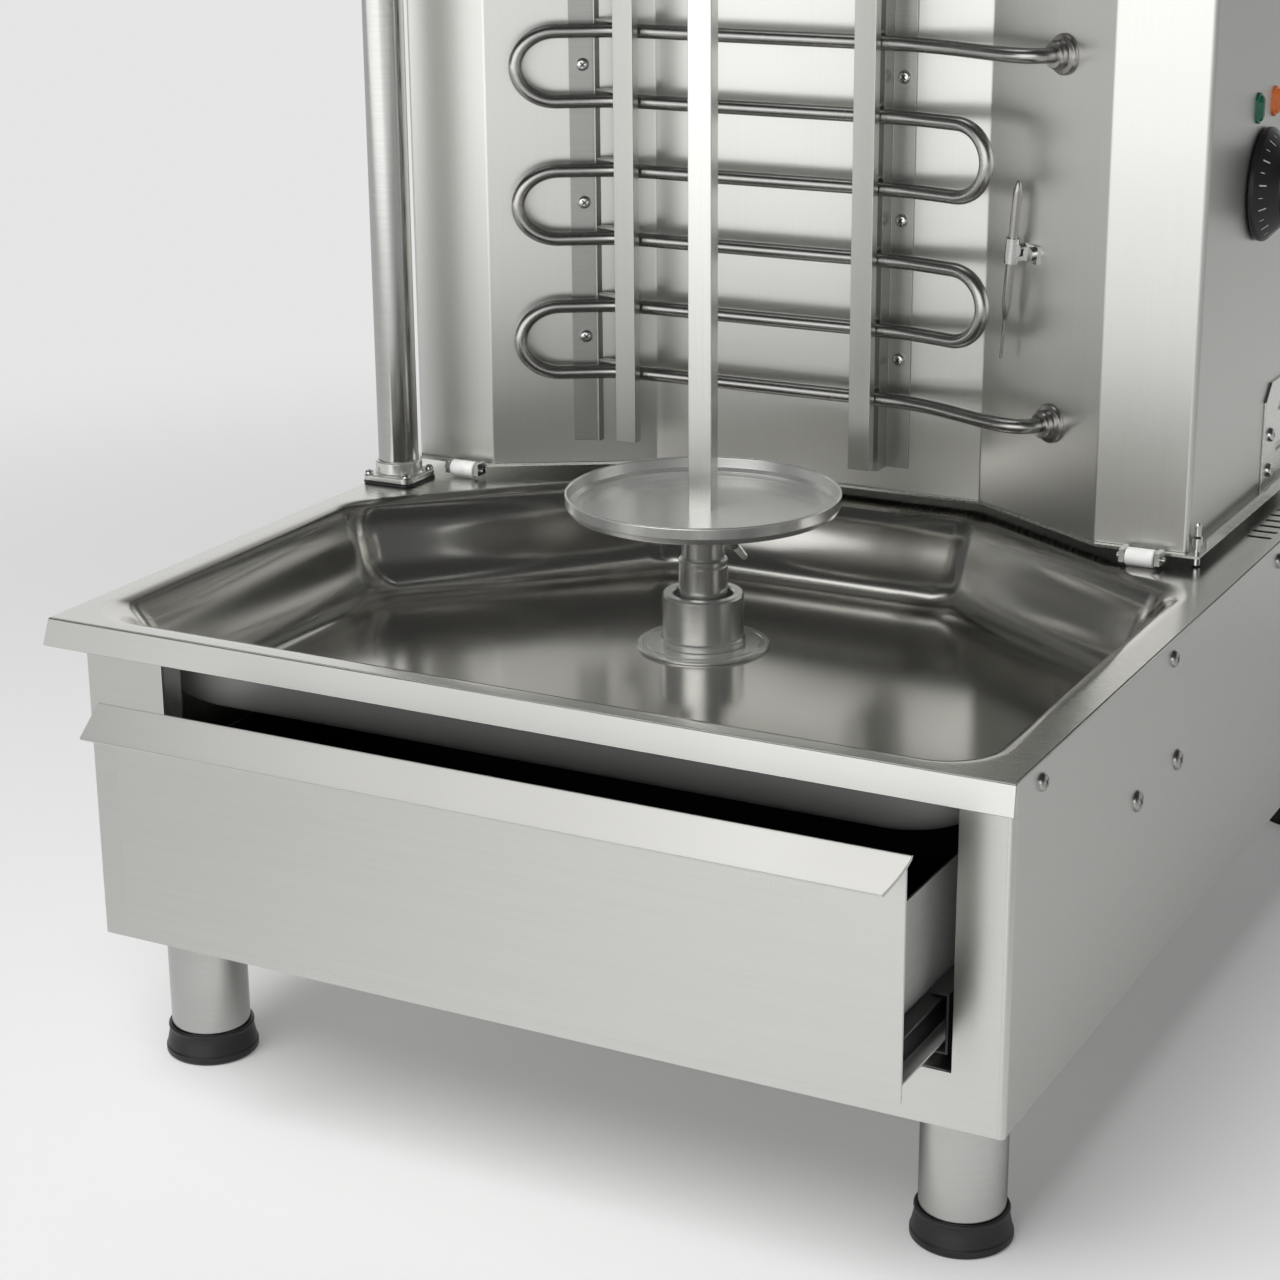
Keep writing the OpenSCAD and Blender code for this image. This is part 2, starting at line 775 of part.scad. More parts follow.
module gear_motor() {
    motor_r = 30;
    motor_len = 95;
    motor_z = gear_top - gear_h / 2 - 4;
    color("slategray") to_frame() translate([spit_x, spit_y, 0]) difference() {
        union() {
            block(-gear_w / 2, gear_w / 2, -gear_d / 2, gear_d / 2, gear_top - gear_h, gear_top);
            translate([0, gear_d / 2 - 1, motor_z]) rotate([-90, 0, 0]) {
                cylinder(h = motor_len, r = motor_r);
                cylinder(h = motor_len + 8, r = motor_r - 8);
            }
        }
        upright(0, 0, shaft_low - move_gap, gear_top + 1, shaft_dia / 2 + run_gap);
    }
}

module spit_socket(low, high, side) {
    translate([spit_x, spit_y, low]) rotate([0, 0, spit_turn])
        translate([-side / 2, -side / 2, 0]) cube([side, side, high - low]);
}

module drive_shaft() {
    color("lightgray") to_frame() difference() {
        translate([spit_x, spit_y, 0]) rotate_extrude() polygon([
            [0, shaft_low], [shaft_dia / 2 - 1, shaft_low], [shaft_dia / 2, shaft_low + 1],
            [shaft_dia / 2, seal_z], [sleeve_dia / 2, seal_z + move_gap],
            [sleeve_dia / 2, sleeve_top - 1], [sleeve_dia / 2 - 1, sleeve_top], [0, sleeve_top]
        ]);
        spit_socket(spit_low, sleeve_top + 1, spit_side + 2 * slip_gap);
    }
}

module plate_hub() {
    color("silver") to_frame() difference() {
        translate([spit_x, spit_y, 0]) rotate_extrude() polygon([
            [0, sleeve_top], [hub_dia / 2 - 1, sleeve_top], [hub_dia / 2, sleeve_top + 1],
            [hub_dia / 2, plate_z], [0, plate_z]
        ]);
        spit_socket(sleeve_top - 1, plate_z + 1, spit_side + 2 * slip_gap);
        translate([spit_x, spit_y, screw_z]) rotate([0, 0, spit_turn]) rotate([0, 90, 0])
            cylinder(h = hub_dia, r = screw_r + run_gap);
    }
}

module wing_screw() {
    tip = spit_side / 2 + move_gap;
    head = hub_dia / 2 + 4;
    color("whitesmoke") to_frame() translate([spit_x, spit_y, screw_z]) rotate([0, 0, spit_turn]) {
        rotate([0, 90, 0]) rotate_extrude() polygon([
            [0, tip], [screw_r, tip], [screw_r, head], [4, head], [4, head + 4], [0, head + 4]
        ]);
        for (side = [0, 1])
            mirror([0, 0, side]) translate([head + 3, 1.2, 0]) rotate([90, 0, 0]) linear_extrude(2.4)
                polygon([[-2, 0], [2, 0], [7, 7], [6, 10], [3, 9]]);
    }
}

module meat_plate() {
    t = 1.6;
    color("silver") to_frame() difference() {
        translate([spit_x, spit_y, plate_z]) rotate_extrude() polygon([
            [0, 0], [plate_r - 6, 0], [plate_r - 2.5, 1], [plate_r - 0.8, 3],
            [plate_r, plate_rim_h], [plate_r - t, plate_rim_h], [plate_r - t - 1, 4],
            [plate_r - t - 3, 2.2], [plate_r - t - 6, t], [0, t]
        ]);
        spit_socket(plate_z - 1, plate_z + 5, spit_side + 2 * slip_gap);
    }
}

module spit_bar() {
    color("silver") to_frame() difference() {
        spit_socket(spit_low + slip_gap, spit_top, spit_side);
        upright(spit_x, spit_y, spit_top - pin_hole_d, spit_top + 1, pin_tip_r + run_gap);
    }
}

// Post and arm

module post_square(low, high, side) {
    h = side / 2;
    corners = [[-h, -h], [h, -h], [h, h], [-h, h]];
    translate([post_x, post_y, 0]) prism(rounded(corners, post_flange_r, 8), low, high);
}

module post_gasket() {
    color("#181818") to_frame() difference() {
        post_square(deck_h, deck_h + gasket_t, post_flange + 1);
        at_post_bolts() upright(0, 0, deck_h - 1, post_foot_z + 1, bolt_r + slip_gap);
    }
}

module post_flange_plate() {
    collar_top_z = post_foot_z + flange_plate_t + post_collar_h;
    color("gray") to_frame() difference() {
        union() {
            post_square(post_foot_z, post_foot_z + flange_plate_t, post_flange);
            upright(post_x, post_y, post_foot_z, collar_top_z, post_collar_dia / 2);
        }
        upright(post_x, post_y, post_foot_z + 2, post_foot_z + 40, post_dia / 2 + slip_gap);
        at_post_bolts() upright(0, 0, post_foot_z - 1, post_foot_z + flange_plate_t + 1, bolt_r + slip_gap);
    }
}

module post_bolts() {
    color("whitesmoke") to_frame() at_post_bolts()
        translate([0, 0, post_foot_z + flange_plate_t])
            button_screw(bolt_head, bolt_r, flange_plate_t + gasket_t + sheet_t + 6);
}

module post() {
    color("silver") to_frame() translate([post_x, post_y, post_foot_z + 2])
        ring(post_dia / 2, post_dia / 2 - 2, arm_top - 6 - post_foot_z - 2);
}

module top_arm() {
    reach = [spit_x - post_x, spit_y - post_y];
    eye_r = 17;
    clamp_r = post_dia / 2 + 5;
    color("gainsboro") to_frame() difference() {
        union() {
            upright(post_x, post_y, arm_z, arm_top, clamp_r);
            upright(spit_x, spit_y, arm_z, arm_top, eye_r);
            translate([post_x, post_y, arm_z + 4]) rotate([0, 0, atan2(reach.y, reach.x)])
                translate([0, -10, 0]) cube([norm(reach), 20, arm_t - 8]);
        }
        upright(post_x, post_y, arm_z - 1, arm_top - 5, post_dia / 2 + slip_gap);
        upright(spit_x, spit_y, arm_z - 1, arm_top + 1, pin_r + run_gap);
    }
}

module top_pin() {
    seat = arm_top + move_gap;
    tip = spit_top - pin_hole_d + 3;
    color("#202020") to_frame() translate([spit_x, spit_y, 0]) rotate_extrude() polygon([
        [0, tip], [pin_tip_r - 1, tip], [pin_tip_r, tip + 2], [pin_tip_r, spit_top + 3],
        [pin_r, spit_top + 5], [pin_r, seat], [9, seat], [12, seat + 4], [12, seat + 18],
        [9, seat + 22], [0, seat + 22]
    ]);
}

// Tower carriage

// The tower's outline in plan, from the right rear corner round the front
function tower_line(grow, rear) = [
    [tower_r + grow, rear], [tower_r + grow, tower_y - grow],
    [recess_r - grow * 0.55, tower_y - grow], [tower_x + panel_w / 2 - grow * 0.55, panel_y - grow],
    [tower_x - panel_w / 2 + grow * 0.55, panel_y - grow], [recess_l + grow * 0.55, tower_y - grow],
    [tower_l - grow, tower_y - grow], [tower_l - grow, rear]
];

module carriage_tray() {
    rim_h = 5;
    color("dimgray") to_frame() difference() {
        union() {
            prism([
                [tray_r, tray_rear], [tray_l, tray_rear], [tray_l, tray_front],
                [recess_l - tray_edge, tray_front], [tower_x - panel_w / 2 - tray_edge, panel_y - tray_edge],
                [tower_x + panel_w / 2 + tray_edge, panel_y - tray_edge],
                [recess_r + tray_edge, tray_front], [tray_r, tray_front]
            ], tray_z, tower_z);
            block(tray_r - tray_t, tray_r, tower_y + 12, tray_rear, tray_z, tower_z + rim_h);
        }
        upright(lock_x, lock_y, tray_z - 1, tower_z + 1, lock_r + slip_gap);
    }
}

lock_r = 2;
lock_drop = 4;
lock_h = 17;
lock_x = tower_r + tray_margin / 2;
lock_y = tray_front + 2 * tray_lead;

module lock_pin() {
    collar_z = tower_z + lock_drop + move_gap;
    color("whitesmoke") to_frame() translate([lock_x, lock_y, 0]) rotate_extrude() polygon([
        [0, deck_h + move_gap], [lock_r, deck_h + move_gap], [lock_r, collar_z],
        [lock_r + 1, collar_z], [lock_r + 1, collar_z + 4], [lock_r, collar_z + 5],
        [lock_r, tower_z + lock_h - 1], [0, tower_z + lock_h]
    ]);
}

module tray_brackets() {
    y0 = tower_y + bracket_y;
    y1 = tower_back_y - bracket_edge;
    top = tower_z + bracket_h;
    plan = [[y0, tower_z], [y1, tower_z], [y1, top], [y0 + bracket_cut, top], [y0, top - bracket_cut]];
    slot_w = 24;
    slot_h = 5;
    color("lightgray") to_frame() {
        translate([tower_r, 0, 0]) rotate([90, 0, 90]) linear_extrude(sheet_t) difference() {
            polygon(plan);
            for (share = [0.31, 0.69])
                translate([(y0 + y1 - slot_w) / 2, tower_z + share * bracket_h]) square([slot_w, slot_h]);
        }
        translate([tower_l - sheet_t, 0, 0]) rotate([90, 0, 90]) linear_extrude(sheet_t) polygon(plan);
    }
}

// Draws the front pair of something as given and the rear pair mirrored
module at_roller_places() {
    for (x = roller_xs)
        for (end = [0, 1])
            translate([x, end == 0 ? roller_front_y : roller_rear_y, roller_z])
                mirror([0, end, 0]) children();
}

module roller_brackets() {
    reach = tray_front - roller_front_y;
    color("#303030") to_frame() at_roller_places() for (side = [-1, 1])
        translate([side * (roller_len / 2 + cheek_t / 2 + move_gap) - cheek_t / 2, 0, 0]) difference() {
            block(0, cheek_t, -3.6, reach, -3, 4.2);
            along_x(-1, cheek_t + 1, 0, 0, axle_dia / 2 + run_gap);
        }
}

module roller_pins() {
    half = roller_len / 2 + move_gap + cheek_t + 2;
    color("whitesmoke") to_frame() at_roller_places() along_x(-half, half, 0, 0, axle_dia / 2);
}

module roller_pair(y) {
    color("white") to_frame() for (x = roller_xs)
        translate([x - roller_len / 2, y, roller_z]) rotate([0, 90, 0])
            ring(roller_dia / 2, axle_dia / 2 + run_gap, roller_len);
}

module front_rollers() {
    roller_pair(roller_front_y);
}

module rear_rollers() {
    roller_pair(roller_rear_y);
}

module at_terminals() {
    for (z = zone_zs)
        for (pass_z = [z, z + zone_h])
            translate([terminal.x, terminal.y, pass_z]) rotate([0, 0, 90 - wing_angle])
                rotate([0, 90, 0]) children();
}

module tower_shell() {
    line = tower_line(0, tower_back_y);
    inner = tower_line(-sheet_t, tower_back_y);
    color("silver") to_frame() difference() {
        prism(concat(line, [for (i = [len(inner) - 1:-1:0]) inner[i]]), tower_z, tower_top_z);
        at_terminals() translate([0, 0, -5]) cylinder(h = 12, r = rod_r + slip_gap);
        for (z = knob_zs) {
            along_x(tower_r - 5, tower_r + 1, control_ay, z, stem_r + 1);
            for (side = [-1, 1])
                translate([tower_r, control_ay + side * pilot_half, z + pilot_lift])
                    oblong(-5, 1, pilot_w / 2 - 1 + slip_gap);
        }
        block(tower_r - 5, tower_r + 1, control_ay - rocker_w / 2 - 2, control_ay + rocker_w / 2 + 2,
            rocker_z - rocker_h / 2 - 2, rocker_z + rocker_h / 2 + 2);
    }
}

module tower_back() {
    color("silver") to_frame() difference() {
        block(tower_l, tower_r, tower_back_y, tower_back_y + sheet_t, tower_z, tower_top_z);
        for (row = [tower_z + 60, tower_top_z - 110])
            for (i = [0:11])
                block(tower_x - 135 + i * 24, tower_x - 129 + i * 24, tower_back_y - 1, tower_back_y + 5,
                    row, row + 60);
    }
}

module tower_top() {
    color("silver") to_frame()
        prism(tower_line(0, tower_back_y + sheet_t), tower_top_z, tower_top_z + sheet_t);
}

// Heaters

// How far forward a tube has bent at a distance past the end of its straight part
function bent(t) = (t + sqrt(t * t + bend_soft * bend_soft)) / 2;
function tube_y(x) = rod_y
    - left_slope * bent(heater_x - straight_half - x)
    - right_slope * bent(x - heater_x - straight_half);
function on_tube(x, z) = [x, tube_y(x), z];

function cubic(a, b, c, d, t) =
    a * pow(1 - t, 3) + 3 * b * t * pow(1 - t, 2) + 3 * c * t * t * (1 - t) + d * pow(t, 3);

// The lead from the straight part into the wing, in plan, ending behind the wing
lead_x = heater_x + straight_half + 14;
lead_in = [cos(90 - wing_angle), sin(90 - wing_angle)];
lead_start = [lead_x, tube_y(lead_x)];
lead_steps = 9;
lead_end = terminal - lead_in * 9;
function lead(i) = i > lead_steps ? terminal + lead_in * 14 : cubic(
    lead_start, lead_start + 34 * unit([1, -right_slope]), lead_end - 24 * lead_in, lead_end,
    i / lead_steps
);

left_bend_x = heater_x - heater_w / 2 + rod_pitch / 2 + rod_r;
right_bend_x = heater_x + heater_w / 2 - rod_pitch / 2 - rod_r;
function along(x0, x1, z, n) = [for (i = [0:n - 1]) on_tube(x0 + (x1 - x0) * i / n, z)];
function turn(x, side, z, n) = [
    for (i = [0:n - 1])
        on_tube(x + side * rod_pitch / 2 * sin(180 * i / n), z - rod_pitch / 2 * (1 - cos(180 * i / n)))
];

// The whole heater from its top terminal to its bottom one, for a lowest pass at zero
function heater_path() = concat(
    [for (i = [lead_steps + 1:-1:0]) [lead(i).x, lead(i).y, zone_h]],
    along(lead_x - 12, left_bend_x, zone_h, 18),
    [for (k = [0:passes - 2]) let (z = zone_h - k * rod_pitch, left = k % 2 == 0)
        each concat(
            turn(left ? left_bend_x : right_bend_x, left ? -1 : 1, z, 8),
            k == passes - 2 ? along(left_bend_x, lead_x, 0, 19)
                : along(left ? left_bend_x : right_bend_x, left ? right_bend_x : left_bend_x,
                    z - rod_pitch, 20)
        )],
    [for (i = [0:lead_steps + 1]) [lead(i).x, lead(i).y, 0]]
);

// A round tube swept along points, closed at both ends, with its rings kept square to the path
module tube(path, r, sides) {
    n = len(path);
    pts = [
        for (i = [0:n - 1])
            let (d = unit(path[min(i + 1, n - 1)] - path[max(i - 1, 0)]),
                 u = unit(cross(d, [0.25, 1, 0])),
                 v = cross(d, u))
                for (s = [0:sides - 1])
                    path[i] + r * (cos(360 * s / sides) * u + sin(360 * s / sides) * v)
    ];
    polyhedron(points = pts, faces = concat(
        [[for (s = [0:sides - 1]) s], [for (s = [sides - 1:-1:0]) (n - 1) * sides + s]],
        [for (i = [0:n - 2]) for (s = [0:sides - 1])
            [i * sides + s, (i + 1) * sides + s, (i + 1) * sides + (s + 1) % sides]],
        [for (i = [0:n - 2]) for (s = [0:sides - 1])
            [i * sides + s, (i + 1) * sides + (s + 1) % sides, i * sides + (s + 1) % sides]]
    ));
}

module heater(z) {
    color("dimgray") to_frame() translate([0, 0, z]) tube(heater_path(), rod_r, 10);
}

module heater_lower() {
    heater(zone_zs[0]);
}

module heater_upper() {
    heater(zone_zs[1]);
}

module heater_nuts() {
    hole_r = rod_r + slip_gap;
    color("lightgray") to_frame() at_terminals() {
        translate([0, 0, -2]) ring(nut_washer_r, hole_r, 2);
        translate([0, 0, -6]) ring(nut_washer_r - 3, hole_r, 4);
        translate([0, 0, 2 * sheet_t]) difference() {
            cylinder(h = 5, r = nut_washer_r - 2, $fn = 6);
            translate([0, 0, -1]) cylinder(h = 8, r = hole_r);
        }
    }
}

// Depth of the recess's front face at a sideways place
function panel_at(x) = let (out = max(0, abs(x - tower_x) - panel_w / 2))
    panel_y - out * recess_d / (recess_w / 2 - panel_w / 2);

// The right support strip in plan: a lip behind the tubes, a web and a flange on the panel
function right_strip() = let (
    web = guard_r + strip_web,
    end = guard_r + strip_end
) [
    [guard_r - strip_lip, lip_y], [web, lip_y], [web, panel_y - strip_t], [end, panel_y - strip_t],
    [end, panel_y], [web - strip_t, panel_y], [web - strip_t, lip_y + strip_t],
    [guard_r - strip_lip, lip_y + strip_t]
];

// The left support strip in plan: a flange on the sloping wing and a web up to the tubes' backs
function left_strip() = let (
    end = left_web - left_strip_w,
    inner = left_web - strip_t,
    tip = tube_y(left_web) + 1.2 * rod_r + slip_gap,
    flange = strip_t / cos(wing_angle)
) [
    [left_web, panel_at(left_web)], [left_web, tip], [inner, tip], [inner, panel_at(inner) - flange],
    [end, panel_at(end) - flange], [end, panel_at(end)]
];

module rear_strips() {
    color("gray") to_frame() {
        prism(right_strip(), strip_low, strip_top);
        prism(left_strip(), strip_low, strip_top);
    }
}

// The back of a guard bar whose middle is at g, clear of the tubes where they bend forward
function guard_back(g) =
    min(tube_y(g - guard_w / 2), tube_y(g + guard_w / 2)) - 1.15 * rod_r - slip_gap;

module guard_bars() {
    color("silver") to_frame() for (g = [guard_l, guard_r])
        block(g - guard_w / 2, g + guard_w / 2, guard_back(g) - guard_d, guard_back(g),
            strip_low + 4, strip_top);
}

// The clips in plan, from each guard bar over a tube to its support strip
function right_clip() = let (g = guard_r, y = guard_back(guard_r))
    [[g - 3.5, y], [g + 3.5, y], [g + 3.5, lip_y], [g - 3.5, lip_y]];
function left_clip() = let (g = guard_l, y = guard_back(guard_l), web_y = panel_at(left_web))
    [[g - 3.5, y], [g + 3.5, y], [g + 3.5, y + 6], [left_web, web_y - 1], [left_web, web_y - 5]];

module rod_clips() {
    color("gray") to_frame() for (z = zone_zs)
        for (k = [0:passes - 1])
            let (low = z + k * rod_pitch + rod_r + 0.5) {
                prism(right_clip(), low, low + 2);
                prism(left_clip(), low, low + 2);
            }
}

module tower_screws() {
    color("whitesmoke") to_frame() {
        for (k = [0.5, 2.5, 4.5, 7, 9.5, 11]) {
            right_x = guard_r + strip_screw_out;
            left_x = left_web - left_strip_screw;
            z = heater_z + k * rod_pitch;
            translate([right_x, panel_y - strip_t, z]) rotate([90, 0, 0]) button_head(3.8);
            translate([left_x, panel_at(left_x) - strip_t / cos(wing_angle), z]) rotate([0, 0, wing_angle])
                rotate([90, 0, 0]) button_head(3.8);
        }
        for (k = [0, 1])
            for (y = [tower_y + bracket_y + bracket_screw_in, tower_back_y - bracket_screw_in])
                translate([tower_r + sheet_t, y, tower_z + bracket_screw_in + k * bracket_screw_pitch])
                    rotate([0, 90, 0]) button_head(4.2);
    }
}

// Thermostat probes on the right wing
probe_r = 2.6;
probe_stand = 7;
probe_lift = 91;
probe_tilt = 6;
probe_low = 61;
probe_len = 101;
clip_w = 15;
clip_low = 4;
clip_high = 6;

module at_probes() {
    for (z = zone_zs)
        translate([probe_foot.x, probe_foot.y, z + probe_lift])
            rotate([0, 0, -wing_angle]) rotate([0, probe_tilt, 0]) children();
}

module probes() {
    neck = 0.3 * probe_len;
    color("lightgray") to_frame() at_probes() translate([0, -probe_stand, -probe_low]) rotate_extrude()
        polygon([
            [0, 0], [1, 1], [1, neck - 6], [probe_r, neck], [probe_r, probe_len - 5], [1.2, probe_len],
            [0, probe_len]
        ]);
}

module probe_clips() {
    color("whitesmoke") to_frame() at_probes() {
        translate([0, -probe_stand, -clip_high]) ring(probe_r + 1.4, probe_r + slip_gap, 2 * clip_high + 2);
        block(probe_r + 1.2, clip_w, -strip_t, 0, -clip_low, clip_high);
        block(probe_r + 1.2, probe_r + 2.4, -probe_stand - 1, -strip_t, -clip_low, clip_high);
        translate([clip_w - 5, -strip_t, (clip_high - clip_low) / 2]) rotate([90, 0, 0])
            cylinder(h = head_h, r = 4);
    }
}

// Controls

module thermostats() {
    inside = tower_r - sheet_t;
    color("tan") to_frame() for (z = knob_zs) {
        block(inside - thermostat_d, inside, control_ay - thermostat_w / 2, control_ay + thermostat_w / 2,
            z - thermostat_h / 2, z + thermostat_h / 2);
        along_x(inside - 0.5, tower_r + stem_len, control_ay, z, stem_r);
    }
}

module knob(z) {
    gap = move_gap;
    r = knob_dia / 2;
    color("#151515") to_frame() translate([tower_r, control_ay, z]) rotate([0, 90, 0]) difference() {
        union() {
            rotate_extrude() polygon([
                [0, gap], [r - 1, gap], [r, gap + 1], [r, gap + 3], [r * 0.66, knob_reach / 2],
                [r * 0.6, knob_reach - 1], [r * 0.57, knob_reach], [0, knob_reach]
            ]);
        }
        translate([0, 0, -1]) cylinder(h = stem_len + 2, r = stem_r + slip_gap);
    }
}

module knob_lower() {
    knob(knob_zs[0]);
}

module knob_upper() {
    knob(knob_zs[1]);
}

// An upright stadium along X from x0 to x1 with ends of radius r
module oblong(x0, x1, r) {
    half = (pilot_h - pilot_w) / 2;
    block(x0, x1, -r, r, -half, half);
    for (z = [-half, half])
        along_x(x0, x1, 0, z, r);
}

module pilot(side) {
    for (z = knob_zs)
        translate([tower_r, control_ay + side * pilot_half, z + pilot_lift]) {
            oblong(-pilot_d, 0.5, pilot_w / 2 - 1);
            oblong(0, 1.6, pilot_w / 2);
            oblong(1, 3.6, pilot_w / 2 - 1.2);
        }
}

module pilot_green() {
    color("green") to_frame() pilot(-1);
}

module pilot_orange() {
    color("orangered") to_frame() pilot(1);
}

module switch_housing() {
    hole_y = rocker_w / 2 + move_gap;
    hole_z = rocker_h / 2 + move_gap;
    color("#181818") to_frame() translate([0, control_ay, rocker_z]) difference() {
        union() {
            block(tower_r, tower_r + bezel_t, -hole_y - 4, hole_y + 4, -hole_z - 4, hole_z + 4);
            block(tower_r - switch_d, tower_r, -hole_y - 1.5, hole_y + 1.5, -hole_z - 1.5, hole_z + 1.5);
        }
        block(tower_r - switch_d / 2, tower_r + 5, -hole_y, hole_y, -hole_z, hole_z);
        translate([rocker_pin_x, hole_y + 1.2 + slip_gap, 0]) rotate([90, 0, 0])
            cylinder(h = 2 * (hole_y + 1.2 + slip_gap), r = rocker_pin_r + run_gap);
    }
}

module motor_rocker() {
    h = rocker_h / 2;
    half_pin = rocker_w / 2 + move_gap + 1.2;
    color("#2a2a2a") to_frame() {
        translate([tower_r, control_ay + rocker_w / 2, rocker_z]) rotate([90, 0, 0])
            linear_extrude(rocker_w)
                polygon([
                    [-6, -4], [-6, 4], [-1, h - 1], [1, h - 1], [2.5, 0], [4.8, -h + 1.5], [0.5, -h + 1]
                ]);
        translate([rocker_pin_x, control_ay + half_pin, rocker_z]) rotate([90, 0, 0])
            cylinder(h = 2 * half_pin, r = rocker_pin_r);
    }
}

deck_pan();
front_frame();
left_side_panel();
right_side_panel();
rear_panel();
bottom_panel();
legs();
feet();
slide_supports();
outer_slides();
middle_slides();
inner_slides();
drawer_box();
drawer_front();
pan_flange();
bearing_housing();
shaft_bearings();
shaft_seal();
gear_motor();
motor_bracket();
drive_shaft();
plate_hub();
wing_screw();
meat_plate();
spit_bar();
cable_gland();
terminal_block();
panel_screws();
post();
post_flange_plate();
post_gasket();
post_bolts();
top_arm();
top_pin();
carriage_tray();
tray_brackets();
roller_brackets();
roller_pins();
front_rollers();
rear_rollers();
lock_pin();
tower_shell();
tower_back();
tower_top();
heater_lower();
heater_upper();
heater_nuts();
rear_strips();
guard_bars();
rod_clips();
tower_screws();
probes();
probe_clips();
thermostats();
knob_lower();
knob_upper();
pilot_green();
pilot_orange();
switch_housing();
motor_rocker();
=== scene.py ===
import json
import math

import bmesh
import bpy
from mathutils import Matrix, Vector


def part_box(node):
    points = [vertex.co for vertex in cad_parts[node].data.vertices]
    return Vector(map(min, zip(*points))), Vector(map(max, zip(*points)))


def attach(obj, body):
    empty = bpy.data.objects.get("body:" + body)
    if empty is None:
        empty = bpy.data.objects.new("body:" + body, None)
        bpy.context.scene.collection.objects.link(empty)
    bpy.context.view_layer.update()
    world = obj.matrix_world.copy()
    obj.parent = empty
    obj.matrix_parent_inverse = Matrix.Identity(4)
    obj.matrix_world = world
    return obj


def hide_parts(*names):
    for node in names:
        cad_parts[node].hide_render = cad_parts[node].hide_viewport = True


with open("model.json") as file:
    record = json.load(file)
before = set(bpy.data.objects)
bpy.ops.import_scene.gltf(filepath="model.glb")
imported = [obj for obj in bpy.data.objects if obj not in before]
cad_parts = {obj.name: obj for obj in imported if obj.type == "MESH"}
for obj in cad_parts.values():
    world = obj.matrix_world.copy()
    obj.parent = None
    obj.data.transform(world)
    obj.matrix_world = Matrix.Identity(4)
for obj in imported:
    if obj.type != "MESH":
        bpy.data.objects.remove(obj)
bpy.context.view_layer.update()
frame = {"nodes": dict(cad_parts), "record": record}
scene = bpy.context.scene
scene.view_settings.view_transform = "Standard"

# Working axes: millimetres from the middle of the deck's front hem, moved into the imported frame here
SHIFT = Vector((1.2, 315.75, 0.0))


def place(p):
    return (Vector(p) - SHIFT) / 1000


def working(p):
    return Vector(p) * 1000 + SHIFT


# Camera at the photograph's viewing angle
YAW, PITCH, ROLL = (math.radians(a) for a in (28.0, 18.29, -0.47))
EYE = (646.57, -1059.38, 683.99)
FOCAL_PX, PHOTO_PX = 2787.7, 1280
SENSOR = 36.0
fwd = Vector((-math.sin(YAW) * math.cos(PITCH), math.cos(YAW) * math.cos(PITCH), -math.sin(PITCH)))
flat_right = Vector((math.cos(YAW), math.sin(YAW), 0))
flat_up = flat_right.cross(fwd)
right = math.cos(ROLL) * flat_right + math.sin(ROLL) * flat_up
up = -math.sin(ROLL) * flat_right + math.cos(ROLL) * flat_up
cam_data = bpy.data.cameras.new("camera")
cam_data.sensor_width = SENSOR
cam_data.lens = FOCAL_PX / PHOTO_PX * SENSOR
cam_data.clip_end = 60
camera = bpy.data.objects.new("camera", cam_data)
turn = Matrix((right, up, -fwd)).transposed().to_4x4()
camera.matrix_world = Matrix.Translation(place(EYE)) @ turn
scene.collection.objects.link(camera)
scene.camera = camera


# Materials

# The middle of a noise texture's values, its roughness, and the depth of every bump in metres
NOISE_LOW, NOISE_HIGH, NOISE_ROUGH = 0.3, 0.7, 0.55
BUMP_DEPTH = 0.0001


def new_material(name):
    mat = bpy.data.materials.new(name)
    mat.use_nodes = True
    nodes = mat.node_tree.nodes
    return mat, nodes, mat.node_tree.links, nodes["Principled BSDF"]


def streaks(nodes, links, scale, detail=3.0):
    coord = nodes.new("ShaderNodeTexCoord")
    mapping = nodes.new("ShaderNodeMapping")
    mapping.inputs["Scale"].default_value = scale
    noise = nodes.new("ShaderNodeTexNoise")
    noise.inputs["Scale"].default_value = 1.0
    noise.inputs["Detail"].default_value = detail
    noise.inputs["Roughness"].default_value = NOISE_ROUGH
    links.new(coord.outputs["Object"], mapping.inputs["Vector"])
    links.new(mapping.outputs["Vector"], noise.inputs["Vector"])
    return noise.outputs["Fac"]


def ranged(nodes, links, value, low, high):
    node = nodes.new("ShaderNodeMapRange")
    node.inputs["From Min"].default_value = NOISE_LOW
    node.inputs["From Max"].default_value = NOISE_HIGH
    node.inputs["To Min"].default_value = low
    node.inputs["To Max"].default_value = high
    links.new(value, node.inputs["Value"])
    return node.outputs["Result"]


def summed(nodes, links, a, b):
    node = nodes.new("ShaderNodeMath")
    node.operation = "ADD"
    links.new(a, node.inputs[0])
    links.new(b, node.inputs[1])
    return node.outputs["Value"]


# A colour that varies by a share of itself either way
def tinted(nodes, links, value, color, vary):
    ramp = nodes.new("ShaderNodeValToRGB")
    dark, light = ramp.color_ramp.elements
    dark.position, light.position = NOISE_LOW, NOISE_HIGH
    dark.color = (*(c * (1 - vary) for c in color), 1)
    light.color = (*(min(1, c * (1 + vary)) for c in color), 1)
    links.new(value, ramp.inputs["Fac"])
    return ramp.outputs["Color"]


def bumped(nodes, links, bsdf, height, strength):
    bump = nodes.new("ShaderNodeBump")
    bump.inputs["Strength"].default_value = strength
    bump.inputs["Distance"].default_value = BUMP_DEPTH
    links.new(height, bump.inputs["Height"])
    links.new(bump.outputs["Normal"], bsdf.inputs["Normal"])


GRAIN = {"x": (16, 2600, 2600), "y": (2600, 16, 2600), "z": (2600, 2600, 16)}
LONG = {"x": (4, 500, 500), "y": (500, 4, 500), "z": (500, 500, 4)}


